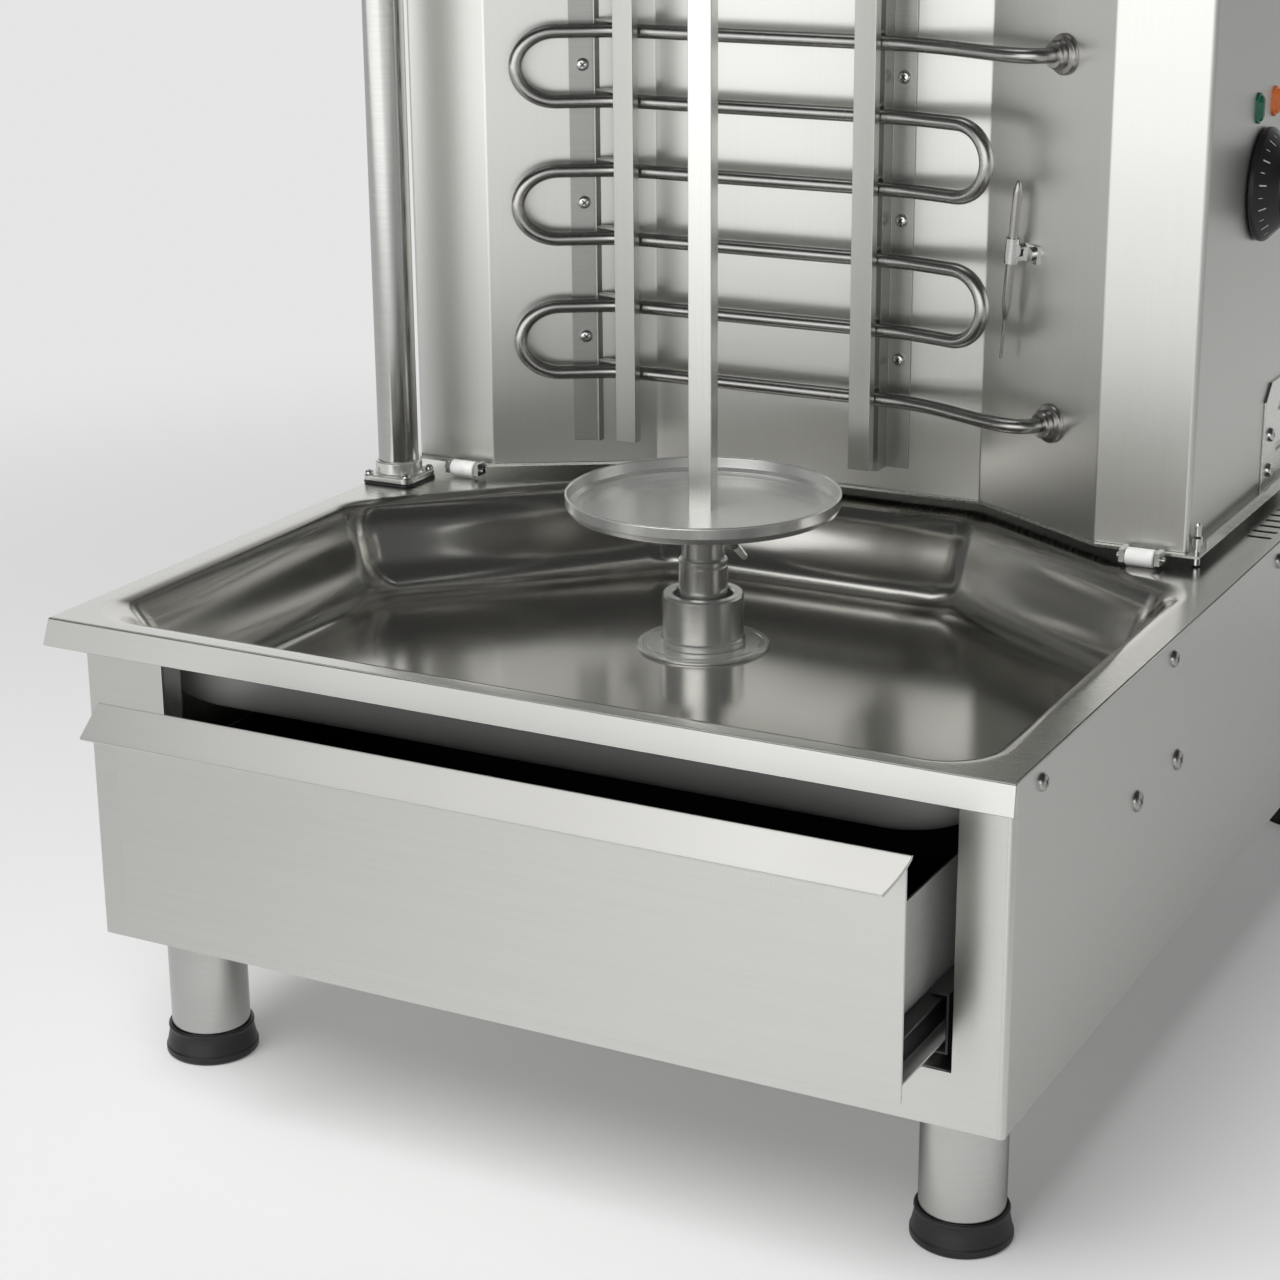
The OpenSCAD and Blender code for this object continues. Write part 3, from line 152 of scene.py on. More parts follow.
# Brushed sheet: fine streaks along one axis, with a reflection drawn out and a bump where they are asked for
def brushed(name, color, rough, axis, aniso=0.0, turn=0.0, bump=0.008, vary=0.014):
    mat, nodes, links, bsdf = new_material(name)
    fine = streaks(nodes, links, GRAIN[axis])
    long = streaks(nodes, links, LONG[axis], 2.0)
    slow = streaks(nodes, links, (6, 6, 6), 2.0)
    grain = summed(nodes, links, ranged(nodes, links, fine, 0, 0.65), ranged(nodes, links, long, 0, 0.35))
    links.new(tinted(nodes, links, grain, color, vary), bsdf.inputs["Base Color"])
    gloss = ranged(nodes, links, grain, rough - 0.006, rough + 0.006)
    cloud = ranged(nodes, links, slow, -0.015, 0.015)
    links.new(summed(nodes, links, gloss, cloud), bsdf.inputs["Roughness"])
    bsdf.inputs["Metallic"].default_value = 1.0
    if aniso:
        bsdf.inputs["Anisotropic"].default_value = aniso
        bsdf.inputs["Anisotropic Rotation"].default_value = turn
        tangent = nodes.new("ShaderNodeTangent")
        tangent.direction_type = "RADIAL"
        tangent.axis = "Z"
        links.new(tangent.outputs["Tangent"], bsdf.inputs["Tangent"])
    if bump:
        bumped(nodes, links, bsdf, fine, bump)
    return mat


# Turned or drawn metal: faint rings or lines and a slow cloud
def satin(name, color, rough, scale=(60, 60, 1400), bump=0.02, metallic=1.0):
    mat, nodes, links, bsdf = new_material(name)
    fine = streaks(nodes, links, scale)
    slow = streaks(nodes, links, (30, 30, 30), 2.0)
    cloud = summed(nodes, links, ranged(nodes, links, fine, 0, 0.6), ranged(nodes, links, slow, 0, 0.4))
    links.new(tinted(nodes, links, cloud, color, 0.03), bsdf.inputs["Base Color"])
    links.new(ranged(nodes, links, slow, rough - 0.02, rough + 0.03), bsdf.inputs["Roughness"])
    bsdf.inputs["Metallic"].default_value = metallic
    bumped(nodes, links, bsdf, fine, bump)
    return mat


# Moulded plastic or rubber: fine pores in the bump, a slow cloud in colour and gloss
def moulded(name, color, rough, pore=1800, bump=0.08, coat=0.0):
    mat, nodes, links, bsdf = new_material(name)
    fine = streaks(nodes, links, (pore, pore, pore), 2.0)
    slow = streaks(nodes, links, (60, 60, 60), 3.0)
    links.new(tinted(nodes, links, slow, color, 0.15), bsdf.inputs["Base Color"])
    links.new(ranged(nodes, links, slow, rough - 0.05, rough + 0.08), bsdf.inputs["Roughness"])
    bsdf.inputs["Coat Weight"].default_value = coat
    bumped(nodes, links, bsdf, fine, bump)
    return mat


STEEL = (0.80, 0.80, 0.765)
steel_x = brushed("steel_brushed_x", STEEL, 0.29, "x", 0.7, 0.25)
steel_deck = brushed("steel_deck", (0.82, 0.815, 0.78), 0.27, "x", bump=0.0, vary=0.006)
steel_lip = brushed("steel_lip", (0.82, 0.815, 0.78), 0.30, "x")
steel_y = brushed("steel_brushed_y", STEEL, 0.28, "y")
steel_z = brushed("steel_brushed_z", (0.84, 0.84, 0.805), 0.34, "z", 0.55, bump=0.0, vary=0.01)
# A darker copy of the tower's steel, painted shade for the tower's sides
steel_tower_side_shaded = brushed("steel_tower_side_shaded", (0.72, 0.72, 0.69), 0.34, "z", 0.5, bump=0.0)
steel_pan = brushed("steel_pan", (0.76, 0.75, 0.71), 0.16, "x", bump=0.005, vary=0.01)
steel_under = satin("steel_pan_under", (0.80, 0.80, 0.78), 0.45, (16, 2600, 2600), 0.005, 0.3)
# A darker copy of the sheet steel, painted shade on the cabinet's side sheets
steel_side_shaded = brushed("steel_side_shaded", (0.74, 0.74, 0.71), 0.34, "y")
steel_tube = satin("steel_tube", (0.64, 0.64, 0.62), 0.18, (30, 30, 1600), 0.012)
steel_spit = brushed("steel_spit", (0.82, 0.82, 0.79), 0.26, "z", bump=0.0)
turned = satin("turned_steel", (0.84, 0.84, 0.81), 0.24, metallic=0.8)
plate_steel = satin("plate_steel", (0.82, 0.82, 0.80), 0.24, (900, 900, 60), 0.01, 0.82)
zinc = satin("zinc_plate", (0.72, 0.72, 0.70), 0.28)
strip_steel = satin("strip_steel", (0.50, 0.50, 0.48), 0.36)
guard_steel = brushed("guard_steel", (0.62, 0.62, 0.59), 0.34, "z")
nut_steel = satin("nut_steel", (0.52, 0.51, 0.49), 0.26)
drawer_sheet = satin("drawer_sheet", (0.84, 0.84, 0.82), 0.42, metallic=0.15)
bright = satin("bright_steel", (0.80, 0.80, 0.78), 0.14)
heater_metal = satin("heater_alloy", (0.56, 0.555, 0.535), 0.25, (300, 300, 300), 0.01)
# Near black steel, used for painted shade: the screws' cross recesses and the slides in the cabinet's opening
dark_steel_and_shade = satin("black_steel", (0.03, 0.03, 0.03), 0.34, metallic=0.0)
# Near black: painted shade inside the drawer's box, and the slide supports' colour
dark_coat_and_shade = satin("dark_enamel_and_painted_shade", (0.012, 0.012, 0.012), 0.5, metallic=0.0)
rubber = moulded("black_rubber", (0.018, 0.018, 0.019), 0.34)
plastic = moulded("black_plastic", (0.016, 0.016, 0.017), 0.30)
nylon = moulded("white_nylon", (0.86, 0.86, 0.84), 0.42)
ceramic = moulded("ceramic", (0.80, 0.76, 0.66), 0.55)
paint = moulded("motor_paint", (0.22, 0.25, 0.27), 0.42, 700, 0.2)
green = moulded("green_lens", (0.01, 0.13, 0.07), 0.14, coat=0.5)
orange = moulded("orange_lens", (0.80, 0.19, 0.04), 0.14, coat=0.5)
marking = moulded("white_marking", (0.55, 0.55, 0.54), 0.5)


# Piece helpers

# Edges flatter than this are shaded smooth unless a piece asks otherwise
SMOOTH = 35

# How near corners of a CAD mesh are one corner, and how flat an edge is no edge
WELD, FLAT = 2e-6, math.radians(0.6)

# A corner that is all but straight stays as it is, and a fillet takes just under half of a side
STRAIGHT_HALF, SIDE_SHARE = math.radians(89), 0.49


def add_object(name, mesh, mat):
    obj = bpy.data.objects.new(name, mesh)
    scene.collection.objects.link(obj)
    mesh.materials.clear()
    mesh.materials.append(mat)
    return obj


def from_bmesh(name, bm, mat, smooth=SMOOTH):
    bmesh.ops.recalc_face_normals(bm, faces=bm.faces)
    for v in bm.verts:
        v.co = place(v.co)
    mesh = bpy.data.meshes.new(name)
    bm.to_mesh(mesh)
    bm.free()
    obj = add_object(name, mesh, mat)
    smooth_by_angle(obj, smooth)
    return obj


def smooth_by_angle(obj, angle):
    limit = math.radians(angle)
    bm = bmesh.new()
    bm.from_mesh(obj.data)
    for f in bm.faces:
        f.smooth = True
    for e in bm.edges:
        e.smooth = len(e.link_faces) == 2 and e.calc_face_angle(0) < limit
    bm.to_mesh(obj.data)
    bm.free()


# Bakes the modifiers into the mesh, so that the piece is plain geometry
def baked(obj):
    bpy.context.view_layer.update()
    graph = bpy.context.evaluated_depsgraph_get()
    mesh = bpy.data.meshes.new_from_object(obj.evaluated_get(graph))
    old = obj.data
    obj.modifiers.clear()
    obj.data = mesh
    mesh.name = obj.name
    bpy.data.meshes.remove(old)
    smooth_by_angle(obj, SMOOTH)
    return obj


def bevelled(obj, width, segments=2, angle=40):
    mod = obj.modifiers.new("bevel", "BEVEL")
    mod.width = width / 1000
    mod.segments = segments
    mod.limit_method = "ANGLE"
    mod.angle_limit = math.radians(angle)
    mod.use_clamp_overlap = True
    return baked(obj)


BODY_OF = {n: b for b, ns in frame["record"]["behaviour"]["bodies"].items() for n in ns}


# Leans a piece's shading on its large faces, so that flat sheet looks flat up to its rounded edges
def flattened(obj):
    mod = obj.modifiers.new("weighted_normals", "WEIGHTED_NORMAL")
    mod.keep_sharp = True


# Lets a finished piece stand for CAD nodes and ride on their body
def stands_for(obj, *nodes):
    flattened(obj)
    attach(obj, BODY_OF[nodes[0]])
    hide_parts(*nodes)
    return obj


# Lets an added piece ride on a CAD node's body
def rides_with(obj, node):
    flattened(obj)
    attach(obj, BODY_OF[node])


# A CAD node's own shape with its flat faces whole again and its edges rounded
def dressed(node, mat, width, segments=2):
    mesh = frame["nodes"][node].data.copy()
    bm = bmesh.new()
    bm.from_mesh(mesh)
    bmesh.ops.remove_doubles(bm, verts=bm.verts, dist=WELD)
    bmesh.ops.dissolve_limit(bm, angle_limit=FLAT, verts=bm.verts, edges=bm.edges)
    bm.to_mesh(mesh)
    bm.free()
    obj = add_object(node + "_dressed", mesh, mat)
    bevelled(obj, width, segments)
    return stands_for(obj, node)


# Angles of a full circle, and equal steps from nothing to an end
def circle(count):
    return [2 * math.pi * k / count for k in range(count)]


def stepped(end, steps):
    return [end * k / steps for k in range(steps + 1)]


def rectangle(x0, x1, y0, y1):
    return [(x0, y0), (x1, y0), (x1, y1), (x0, y1)]


# Turns a profile of (radius, height) points about an axis through a place
def add_lathe(bm, profile, origin, axis=(0, 0, 1), segments=64):
    axis = Vector(axis).normalized()
    side = axis.orthogonal().normalized()
    other = axis.cross(side)
    origin = Vector(origin)
    rings = []
    for r, h in profile:
        if r < 1e-6:
            rings.append([bm.verts.new(origin + axis * h)])
            continue
        rings.append([
            bm.verts.new(origin + axis * h + r * (side * math.cos(a) + other * math.sin(a)))
            for a in circle(segments)
        ])
    for low, high in zip(rings, rings[1:]):
        for i in range(segments):
            j = (i + 1) % segments
            if len(low) == 1:
                bm.faces.new((low[0], high[j], high[i]))
            elif len(high) == 1:
                bm.faces.new((low[i], low[j], high[0]))
            else:
                bm.faces.new((low[i], low[j], high[j], high[i]))


def lathe(name, mat, profile, origin, axis=(0, 0, 1), segments=64, smooth=30):
    bm = bmesh.new()
    add_lathe(bm, profile, origin, axis, segments)
    return from_bmesh(name, bm, mat, smooth)


# Rounds the corners of an open or closed profile of points by arcs
def filleted(points, radius, steps=5, closed=True):
    out = []
    n = len(points)
    for i, p in enumerate(points):
        b = Vector(p)
        if not closed and i in (0, n - 1):
            out.append(b)
            continue
        u = Vector(points[i - 1]) - b
        v = Vector(points[(i + 1) % n]) - b
        half = u.angle(v) / 2
        if half > STRAIGHT_HALF:
            out.append(b)
            continue
        reach = min(radius / math.tan(half), u.length * SIDE_SHARE, v.length * SIDE_SHARE)
        r = reach * math.tan(half)
        mid = b + (u.normalized() + v.normalized()).normalized() * (r / math.sin(half))
        start, end = b + u.normalized() * reach - mid, b + v.normalized() * reach - mid
        whole = start.angle(end)
        for t in stepped(1, steps):
            w = (math.sin((1 - t) * whole) * start + math.sin(t * whole) * end) / math.sin(whole)
            out.append(mid + w)
    return out


def add_loop(bm, points):
    return [bm.verts.new(p) for p in points]


def bridge(bm, low, high):
    n = len(low)
    for i in range(n):
        j = (i + 1) % n
        bm.faces.new((low[i], low[j], high[j], high[i]))


# An outline in plan pushed from one height to another
def add_prism(bm, outline, z0, z1):
    low = add_loop(bm, [(p[0], p[1], z0) for p in outline])
    high = add_loop(bm, [(p[0], p[1], z1) for p in outline])
    bridge(bm, low, high)
    bm.faces.new(list(reversed(low)))
    bm.faces.new(high)


# Moves an open line to its left by a distance, for a sheet of constant thickness
def offset_line(points, d):
    out = []
    n = len(points)
    for i, p in enumerate(points):
        a = points[max(i - 1, 0)]
        b = points[min(i + 1, n - 1)]
        u = (p - a).normalized() if i else (b - p).normalized()
        v = (b - p).normalized() if i < n - 1 else u
        nu = Vector((-u.y, u.x))
        nv = Vector((-v.y, v.x))
        m = (nu + nv).normalized()
        out.append(p + m * d / max(0.3, m.dot(nu)))
    return out


# Closes the ends of a sheet whose rings run along its face and back along its other face
def close_sheet(bm, rings, count):
    last = 2 * count - 1
    for ring in rings:
        for i in range(count - 1):
            bm.faces.new((ring[i], ring[i + 1], ring[last - 1 - i], ring[last - i]))


# A round tube along points, with its rings carried along without twisting
def add_tube(bm, path, r, sides):
    rings = []
    normal = None
    for i, p in enumerate(path):
        d = (path[min(i + 1, len(path) - 1)] - path[max(i - 1, 0)]).normalized()
        normal = d.orthogonal() if normal is None else normal - d * normal.dot(d)
        normal.normalize()
        side = d.cross(normal)
        ring = [p + r * (normal * math.cos(a) + side * math.sin(a)) for a in circle(sides)]
        rings.append(add_loop(bm, ring))
    for low, high in zip(rings, rings[1:]):
        bridge(bm, low, high)
    bm.faces.new(list(reversed(rings[0])))
    bm.faces.new(rings[-1])


def bezier(points, steps):
    a, b, c, d = (Vector(p) for p in points)
    return [(1 - t) ** 3 * a + 3 * t * (1 - t) ** 2 * b + 3 * t * t * (1 - t) * c + t ** 3 * d
            for t in stepped(1, steps)]


# Deck and pan

DECK_L, DECK_R, DECK_D, DECK_Z = -265.0, 263.5, 680.0, 248.0
SHEET = 1.5
HEM_Z, HEM_R, HEM_BACK = 233.0, 265.0, 4.3
HEM_LEAN, HEM_ROLL, HEM_EDGE = 2.4, 1.2, 0.4
SIDE_LEAN = 0.15
LOCK, LOCK_HOLE = (236.5, 350.0), 2.5
VENTS, VENT_PITCH = 8, 12
VENT_X, VENT_Y = (244, 258), (419, 423)
PAN_Z, PAN_CORNER = 197.0, 30.0
PAN_POINTS = [Vector(p) for p in (
    (-250, 13), (247, 13), (247, 305), (92, 400), (-106, 400), (-250, 258))]

# The pan's section in distances from its outline and heights, and the width of its band at each edge
RIM, KNEE, FOOT = (-3.5, DECK_Z), (14.0, 232.0), (44.0, PAN_Z)
BAND, BAND_SIDE = (18, 16, 16, 16, 16, 16), 16.0


# Moves each edge of the pan's outline inwards by its own distance, then rounds the corners
def pan_ring(widths, radius, z):
    n = len(PAN_POINTS)
    lines = []
    for i in range(n):
        a, b = PAN_POINTS[i], PAN_POINTS[(i + 1) % n]
        u = (b - a).normalized()
        lines.append((a + Vector((-u.y, u.x)) * widths[i], u))
    pts = []
    for i in range(n):
        (p, u), (q, v) = lines[i - 1], lines[i]
        cross = u.x * v.y - u.y * v.x
        t = ((q - p).x * v.y - (q - p).y * v.x) / cross
        pts.append(p + u * t)
    return [(p.x, p.y, z) for p in filleted(pts, radius, 14)]


def band_inset(inset, band):
    if inset <= 0:
        return inset
    if inset < KNEE[0]:
        return inset * band / BAND_SIDE
    return inset + KNEE[0] * (band / BAND_SIDE - 1)


# The pan's rings from rim to floor, set back by the sheet's thickness for its underside
def pan_rings(back):
    roll = bezier((RIM, (6, DECK_Z), (10.5, 242), KNEE), 11)
    wall = bezier((KNEE, (18.5, 219.1), (21, PAN_Z), FOOT), 20)
    return [([band_inset(inset, band) - back for band in BAND], PAN_CORNER + back, z - back)
            for inset, z in roll + wall[1:]]


# Outlines of the vents and of the hole that the tower's lock pin drops into
def deck_holes():
    holes = []
    for i in range(VENTS):
        y0, y1 = (y + i * VENT_PITCH for y in VENT_Y)
        holes.append(filleted(rectangle(*VENT_X, y0, y1), (y1 - y0) * SIDE_SHARE, 5))
    x, y = LOCK
    holes.append([Vector((x + LOCK_HOLE * math.cos(a), y + LOCK_HOLE * math.sin(a))) for a in circle(24)])
    return holes


def make_deck():
    bm = bmesh.new()
    pan = [add_loop(bm, pan_ring(*ring)) for ring in pan_rings(0.0)]
    for a, b in zip(pan, pan[1:]):
        bridge(bm, b, a)
    bm.faces.new(pan[-1])

    # The deck's edge, drawn in by a distance: its front hem runs on over the edge of the right side sheet
    def edge_loop(inset, z):
        side = SIDE_LEAN * inset
        left, right_x, back = DECK_L + inset, DECK_R - side, DECK_D - inset
        corners = ((left, inset), (HEM_R - side, inset), (HEM_R - side, HEM_BACK), (right_x, HEM_BACK),
                   (right_x, back), (left, back))
        return add_loop(bm, [(p.x, p.y, z) for p in filleted(corners, 0.6, 4)])

    outer = [edge_loop(HEM_LEAN + HEM_ROLL * (1 - math.sin(a)), DECK_Z - HEM_ROLL * (1 - math.cos(a)))
             for a in stepped(math.radians(80), 6)]
    outer += [edge_loop(0, HEM_Z + HEM_EDGE), edge_loop(HEM_EDGE, HEM_Z), edge_loop(SHEET - 0.3, HEM_Z),
              edge_loop(SHEET, HEM_Z + HEM_EDGE), edge_loop(SHEET + HEM_LEAN + HEM_ROLL, DECK_Z - SHEET)]
    for a, b in zip(outer, outer[1:]):
        bridge(bm, b, a)
    skin = [add_loop(bm, pan_ring(*ring)) for ring in pan_rings(SHEET)]
    for a, b in zip(skin, skin[1:]):
        bridge(bm, a, b)
    bm.faces.new(skin[-1])

    def ring_edges(ring):
        return [bm.edges.get((ring[i], ring[(i + 1) % len(ring)])) for i in range(len(ring))]

    top_edges = ring_edges(pan[0]) + ring_edges(outer[0])
    low_edges = ring_edges(skin[0]) + ring_edges(outer[-1])
    for hole in deck_holes():
        top = add_loop(bm, [(p.x, p.y, DECK_Z) for p in hole])
        low = add_loop(bm, [(p.x, p.y, DECK_Z - SHEET) for p in hole])
        bridge(bm, low, top)
        top_edges += ring_edges(top)
        low_edges += ring_edges(low)
    for edges in (top_edges, low_edges):
        bmesh.ops.triangle_fill(bm, use_beauty=True, use_dissolve=False, edges=edges, normal=(0, 0, 1))
    deck = from_bmesh("deck_and_pan", bm, steel_pan, 38)
    finish_deck(deck)
    stands_for(deck, "deck_pan")


# Gives the hems, the deck and the pan's underside finishes of their own
def finish_deck(deck):
    for mat in (steel_x, steel_deck, steel_under):
        deck.data.materials.append(mat)
    hem, side, top = 3.2, 2.2, DECK_Z - 0.3
    for f in deck.data.polygons:
        x, y, z = working(f.center)
        if z < top and not hem <= y <= DECK_D - hem:
            f.material_index = 1
        elif z > top or not DECK_L + side <= x <= DECK_R - side:
            f.material_index = 2
        elif f.normal.z < -0.05 or z < PAN_Z - 0.2:
            f.material_index = 3


make_deck()

# Cabinet

BASE_Z = 77.0
FRAME_Y, SLEEVE_BACK = (1.5, 3.0), 17.0
FRAME_OUTER, OPENING = (-238, 262, BASE_Z, 238), (-191, 239, 105, 233)
SIDE_X, SIDE_Y, FOLD_TOP = (263.5, 265.0), (4.5, 680.0), 232.7
LEG_PLACES = [(x, y) for x in (-204, 231) for y in (42, 638)]
LEG_PROFILE = ((19, 70), (19, 5), (21, 5), (21, 76.2), (20.4, BASE_Z), (0, BASE_Z))
FOOT_PROFILE = (
    (23.4, 0), (24.8, 1.4), (24.8, 4.2), (24.2, 5.2), (22.9, 11.5), (22.6, 14.2), (23.0, 15.4), (22.9, 16.6),
    (22.3, 17), (21.1, 17), (21.1, 5), (0, 5))


def make_front_frame():
    bm = bmesh.new()

    def ring(bounds, y):
        return add_loop(bm, [(x, y, z) for x, z in rectangle(*bounds)])

    front, back = ((ring(FRAME_OUTER, y), ring(OPENING, y)) for y in FRAME_Y)
    for a, b in (front, back, *zip(front, back)):
        bridge(bm, a, b)
    x0, x1, z0, z1 = OPENING
    grown = (x0 - SHEET, x1 + SHEET, z0 - SHEET, z1)
    sleeve_y = FRAME_Y[1], SLEEVE_BACK
    sleeve = [ring(OPENING, y) for y in sleeve_y] + [ring(grown, y) for y in reversed(sleeve_y)]
    for i in range(4):
        bridge(bm, sleeve[i], sleeve[(i + 1) % 4])
    stands_for(bevelled(from_bmesh("front_frame_sheet", bm, steel_x, 30), 0.4, 2), "front_frame")


def make_right_side():
    bm = bmesh.new()
    inner, outer = (add_loop(bm, [(x, y, z) for y, z in rectangle(*SIDE_Y, BASE_Z, DECK_Z)]) for x in SIDE_X)
    bridge(bm, inner, outer)
    bm.faces.new(inner)
    bm.faces.new(outer)
    # The side sheet takes the darker steel, painted shade
    stands_for(bevelled(from_bmesh("right_side_sheet", bm, steel_side_shaded, 30), 0.5, 3), "right_side_panel")

    # The rounded fold between the front frame and the side sheet
    fold_x, fold_y = FRAME_OUTER[1], SIDE_Y[0]

    def quarter(r):
        return [Vector((fold_x + r * math.sin(a), fold_y - r * math.cos(a))) for a in stepped(math.pi / 2, 8)]

    bm = bmesh.new()
    add_prism(bm, quarter(2 * SHEET) + quarter(SHEET)[::-1], BASE_Z, FOLD_TOP)
    rides_with(from_bmesh("right_front_fold", bm, steel_x, 30), "right_side_panel")


def make_legs():
    foot = [(0, 0)] + filleted(FOOT_PROFILE, 0.7, 3, closed=False)
    for name, node, mat, profile, smooth in (("leg_tubes", "legs", steel_tube, LEG_PROFILE, 30),
                                             ("rubber_feet", "feet", rubber, foot, 50)):
        bm = bmesh.new()
        for x, y in LEG_PLACES:
            add_lathe(bm, profile, (x, y, 0), segments=72)
        stands_for(from_bmesh(name, bm, mat, smooth), node)


# The left side sheet takes the darker steel, painted shade
dressed("left_side_panel", steel_side_shaded, 0.4)
make_front_frame()
make_right_side()
dressed("rear_panel", steel_x, 0.4)
dressed("bottom_panel", steel_x, 0.4)
make_legs()


# A pan-head screw with a dark cross of painted shade for its recess, its head's seat at a place and its axis
# outwards
def add_screw(bm, origin, axis, r, h):
    head = ((0, 1), (0.55, 0.99), (0.75, 0.9), (0.9, 0.68), (0.985, 0.36), (1, 0.1), (1, 0))
    add_lathe(bm, [(r * u, h * v) for u, v in head], origin, axis, 28)
    axis = Vector(axis).normalized()
    side = axis.orthogonal().normalized()
    other = axis.cross(side)
    middle = Vector(origin) + axis * (h * 0.985) + axis * 0.05
    reach, width = r * 0.5, r * 0.1
    # Each arm of the cross is a flat dark face just off the head, painted shade for the recess
    for a, b in ((side, other), (other, side)):
        arm = [middle + a * u * reach + b * v * width for u, v in rectangle(-1, 1, -1, 1)]
        bm.faces.new(add_loop(bm, arm)).material_index = 1


# Screws of one node: each place is a seat, an axis, a head's radius and its height
def screw_piece(name, mat, places):
    bm = bmesh.new()
    for screw in places:
        add_screw(bm, *screw)
    slots = [f.material_index for f in bm.faces]
    screws = from_bmesh(name, bm, mat, 40)
    screws.data.materials.append(dark_steel_and_shade)
    for f, slot in zip(screws.data.polygons, slots):
        f.material_index = slot
    return screws


side_screws = [((SIDE_X[1], 34 + i * 189, 238.5), (1, 0, 0), 4.4, 2.4) for i in range(4)]
side_screws += [((SIDE_X[1], y, 180), (1, 0, 0), 5.6, 2.4) for y in (174, 238)]
stands_for(screw_piece("side_panel_screws", nut_steel, side_screws), "panel_screws")

# Drawer

DRAWER, DRAWER_Y = (-186, 234, 109, 222.5), (-45.0, -43.5)
LIP_Y, LIP_FOOT, LIP_TOP = -44, 220.6, 228
LIP_OUT, LIP_DROP = 19, 13


# The drawer's box, its inside near black as painted shade
def make_drawer_box():
    box = dressed("drawer_box", drawer_sheet, 0.35)
    box.data.materials.append(dark_coat_and_shade)
    low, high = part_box("drawer_box")
    middle = (Vector(low) + Vector(high)) / 2
    underside = low[2] + 0.0008
    # Faces that look into the box, and its floor's top, take the near black, painted shade
    for f in box.data.polygons:
        inside = (f.center - middle).dot(f.normal) < 0 or f.normal.z > 0.9
        if inside and f.center.z > underside:
            f.material_index = 1


# The drawer's slide members, near black for painted shade in the cabinet's opening, with a bright lower
# flange on the inner ones
def make_slides():
    runners = dressed("inner_slides", dark_steel_and_shade, 0.25)
    runners.data.materials.append(drawer_sheet)
    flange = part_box("inner_slides")[0][2] + 0.002
    # The web stays near black as painted shade; faces below the flange's height take the bright sheet
    for f in runners.data.polygons:
        if f.center.z < flange:
            f.material_index = 1
    dressed("middle_slides", dark_steel_and_shade, 0.25)
    dressed("outer_slides", dark_steel_and_shade, 0.25)
    dressed("slide_supports", dark_coat_and_shade, 0.3)


def make_drawer_front():
    bm = bmesh.new()
    corners = filleted(rectangle(*DRAWER), 1.2, 4)
    front, back = (add_loop(bm, [(p.x, y, p.y) for p in corners]) for y in DRAWER_Y)
    bridge(bm, front, back)
    bm.faces.new(front)
    bm.faces.new(back)
    stands_for(bevelled(from_bmesh("drawer_front_sheet", bm, steel_x, 30), 0.4, 3), "drawer_front")


# The pull lip in section, with ends that curve in towards its front edge and a leg as wide as the front
def make_pull_lip():
    slope = [Vector((LIP_Y - LIP_OUT * t, LIP_TOP - LIP_DROP * t)) for t in stepped(1, 8)]
    face = filleted([(LIP_Y, LIP_FOOT)] + slope, 1.0, 4, closed=False)
    section = face + offset_line(face, SHEET)[::-1]
    bm = bmesh.new()

    def end(x, leg_x, slant):
        ring = []
        for y, z in section:
            in_leg = z < 222 and y > LIP_Y - 2
            curve = slant * max(0, (DRAWER_Y[0] - y) / 18) ** 1.5
            ring.append((leg_x if in_leg else x + curve, y, z))
        return add_loop(bm, ring)

    ends = end(-194, DRAWER[0], 1.5), end(236.5, DRAWER[1], -6)
    bridge(bm, *ends)
    close_sheet(bm, ends, len(face))
    rides_with(bevelled(from_bmesh("drawer_pull_lip", bm, steel_lip, 30), 0.3, 2, 60), "drawer_front")


make_drawer_box()
make_slides()
make_drawer_front()
make_pull_lip()

# Spit drive

SPIT, SPIT_HALF, SPIT_Z = (-10.0, 250.0), 6.5, (234.2, 838)
TURN = math.radians(10)
WING_Z, WING_HALF = 258, 1.1
WING_SHANK = ((0, 6.9), (2.4, 7.0), (2.5, 15.6), (4.2, 16), (4.2, 19), (3.2, 20.4), (0, 20.6))
WING_OUTLINE = ((16.8, 1), (20.4, 1), (25, 7.2), (25.2, 9.6), (22.6, 9.8), (18, 5.4))


# A piece turned about the spit's axis, from a profile whose corners are rounded first
def spit_lathe(name, mat, node, points, radius, segments=96, steps=3):
    profile = filleted(points, radius, steps, closed=False)
    stands_for(lathe(name, mat, profile, (*SPIT, 0), segments=segments, smooth=40), node)


spit_lathe("pan_flange_disc", turned, "pan_flange",
           [(20.1, 197), (37, 197), (37, 198.3), (36.2, 199), (33.5, 199), (33, 198.5), (32, 198.5),
            (31.5, 199), (20.1, 199)], 0.3)
spit_lathe("bearing_collar", turned, "bearing_housing",
           [(16.05, 166.5), (20, 166.5), (20, 199), (23.5, 199), (23.5, 202.4), (22.5, 203.6), (22.5, 226.6),
            (21.6, 228), (17.6, 228), (16.5, 227), (16.5, 221), (16.05, 221)], 0.5)
spit_lathe("bearing_pair", bright, "shaft_bearings",
           [(10.05, 166.5), (16, 166.5), (16, 176.5), (10.05, 176.5)], 0.3)
spit_lathe("collar_seal", rubber, "shaft_seal",
           [(13.55, 221), (16.45, 221), (16.45, 225), (13.55, 225)], 0.3)
spit_lathe("drive_sleeve", turned, "drive_shaft",
           [(0, 134.5), (9, 134.5), (10, 135.5), (10, 221), (13.5, 221.4), (13.5, 243.4), (13.1, 243.9),
            (13.1, 244.5), (13.5, 245), (13.5, 247), (12.6, 248), (0, 248)], 0.25)
spit_lathe("hub", turned, "plate_hub",
           [(0, 248), (11, 248), (12, 249), (12, 270.5), (12.8, 271.3), (12.8, 274.5), (0, 274.5)], 0.4)
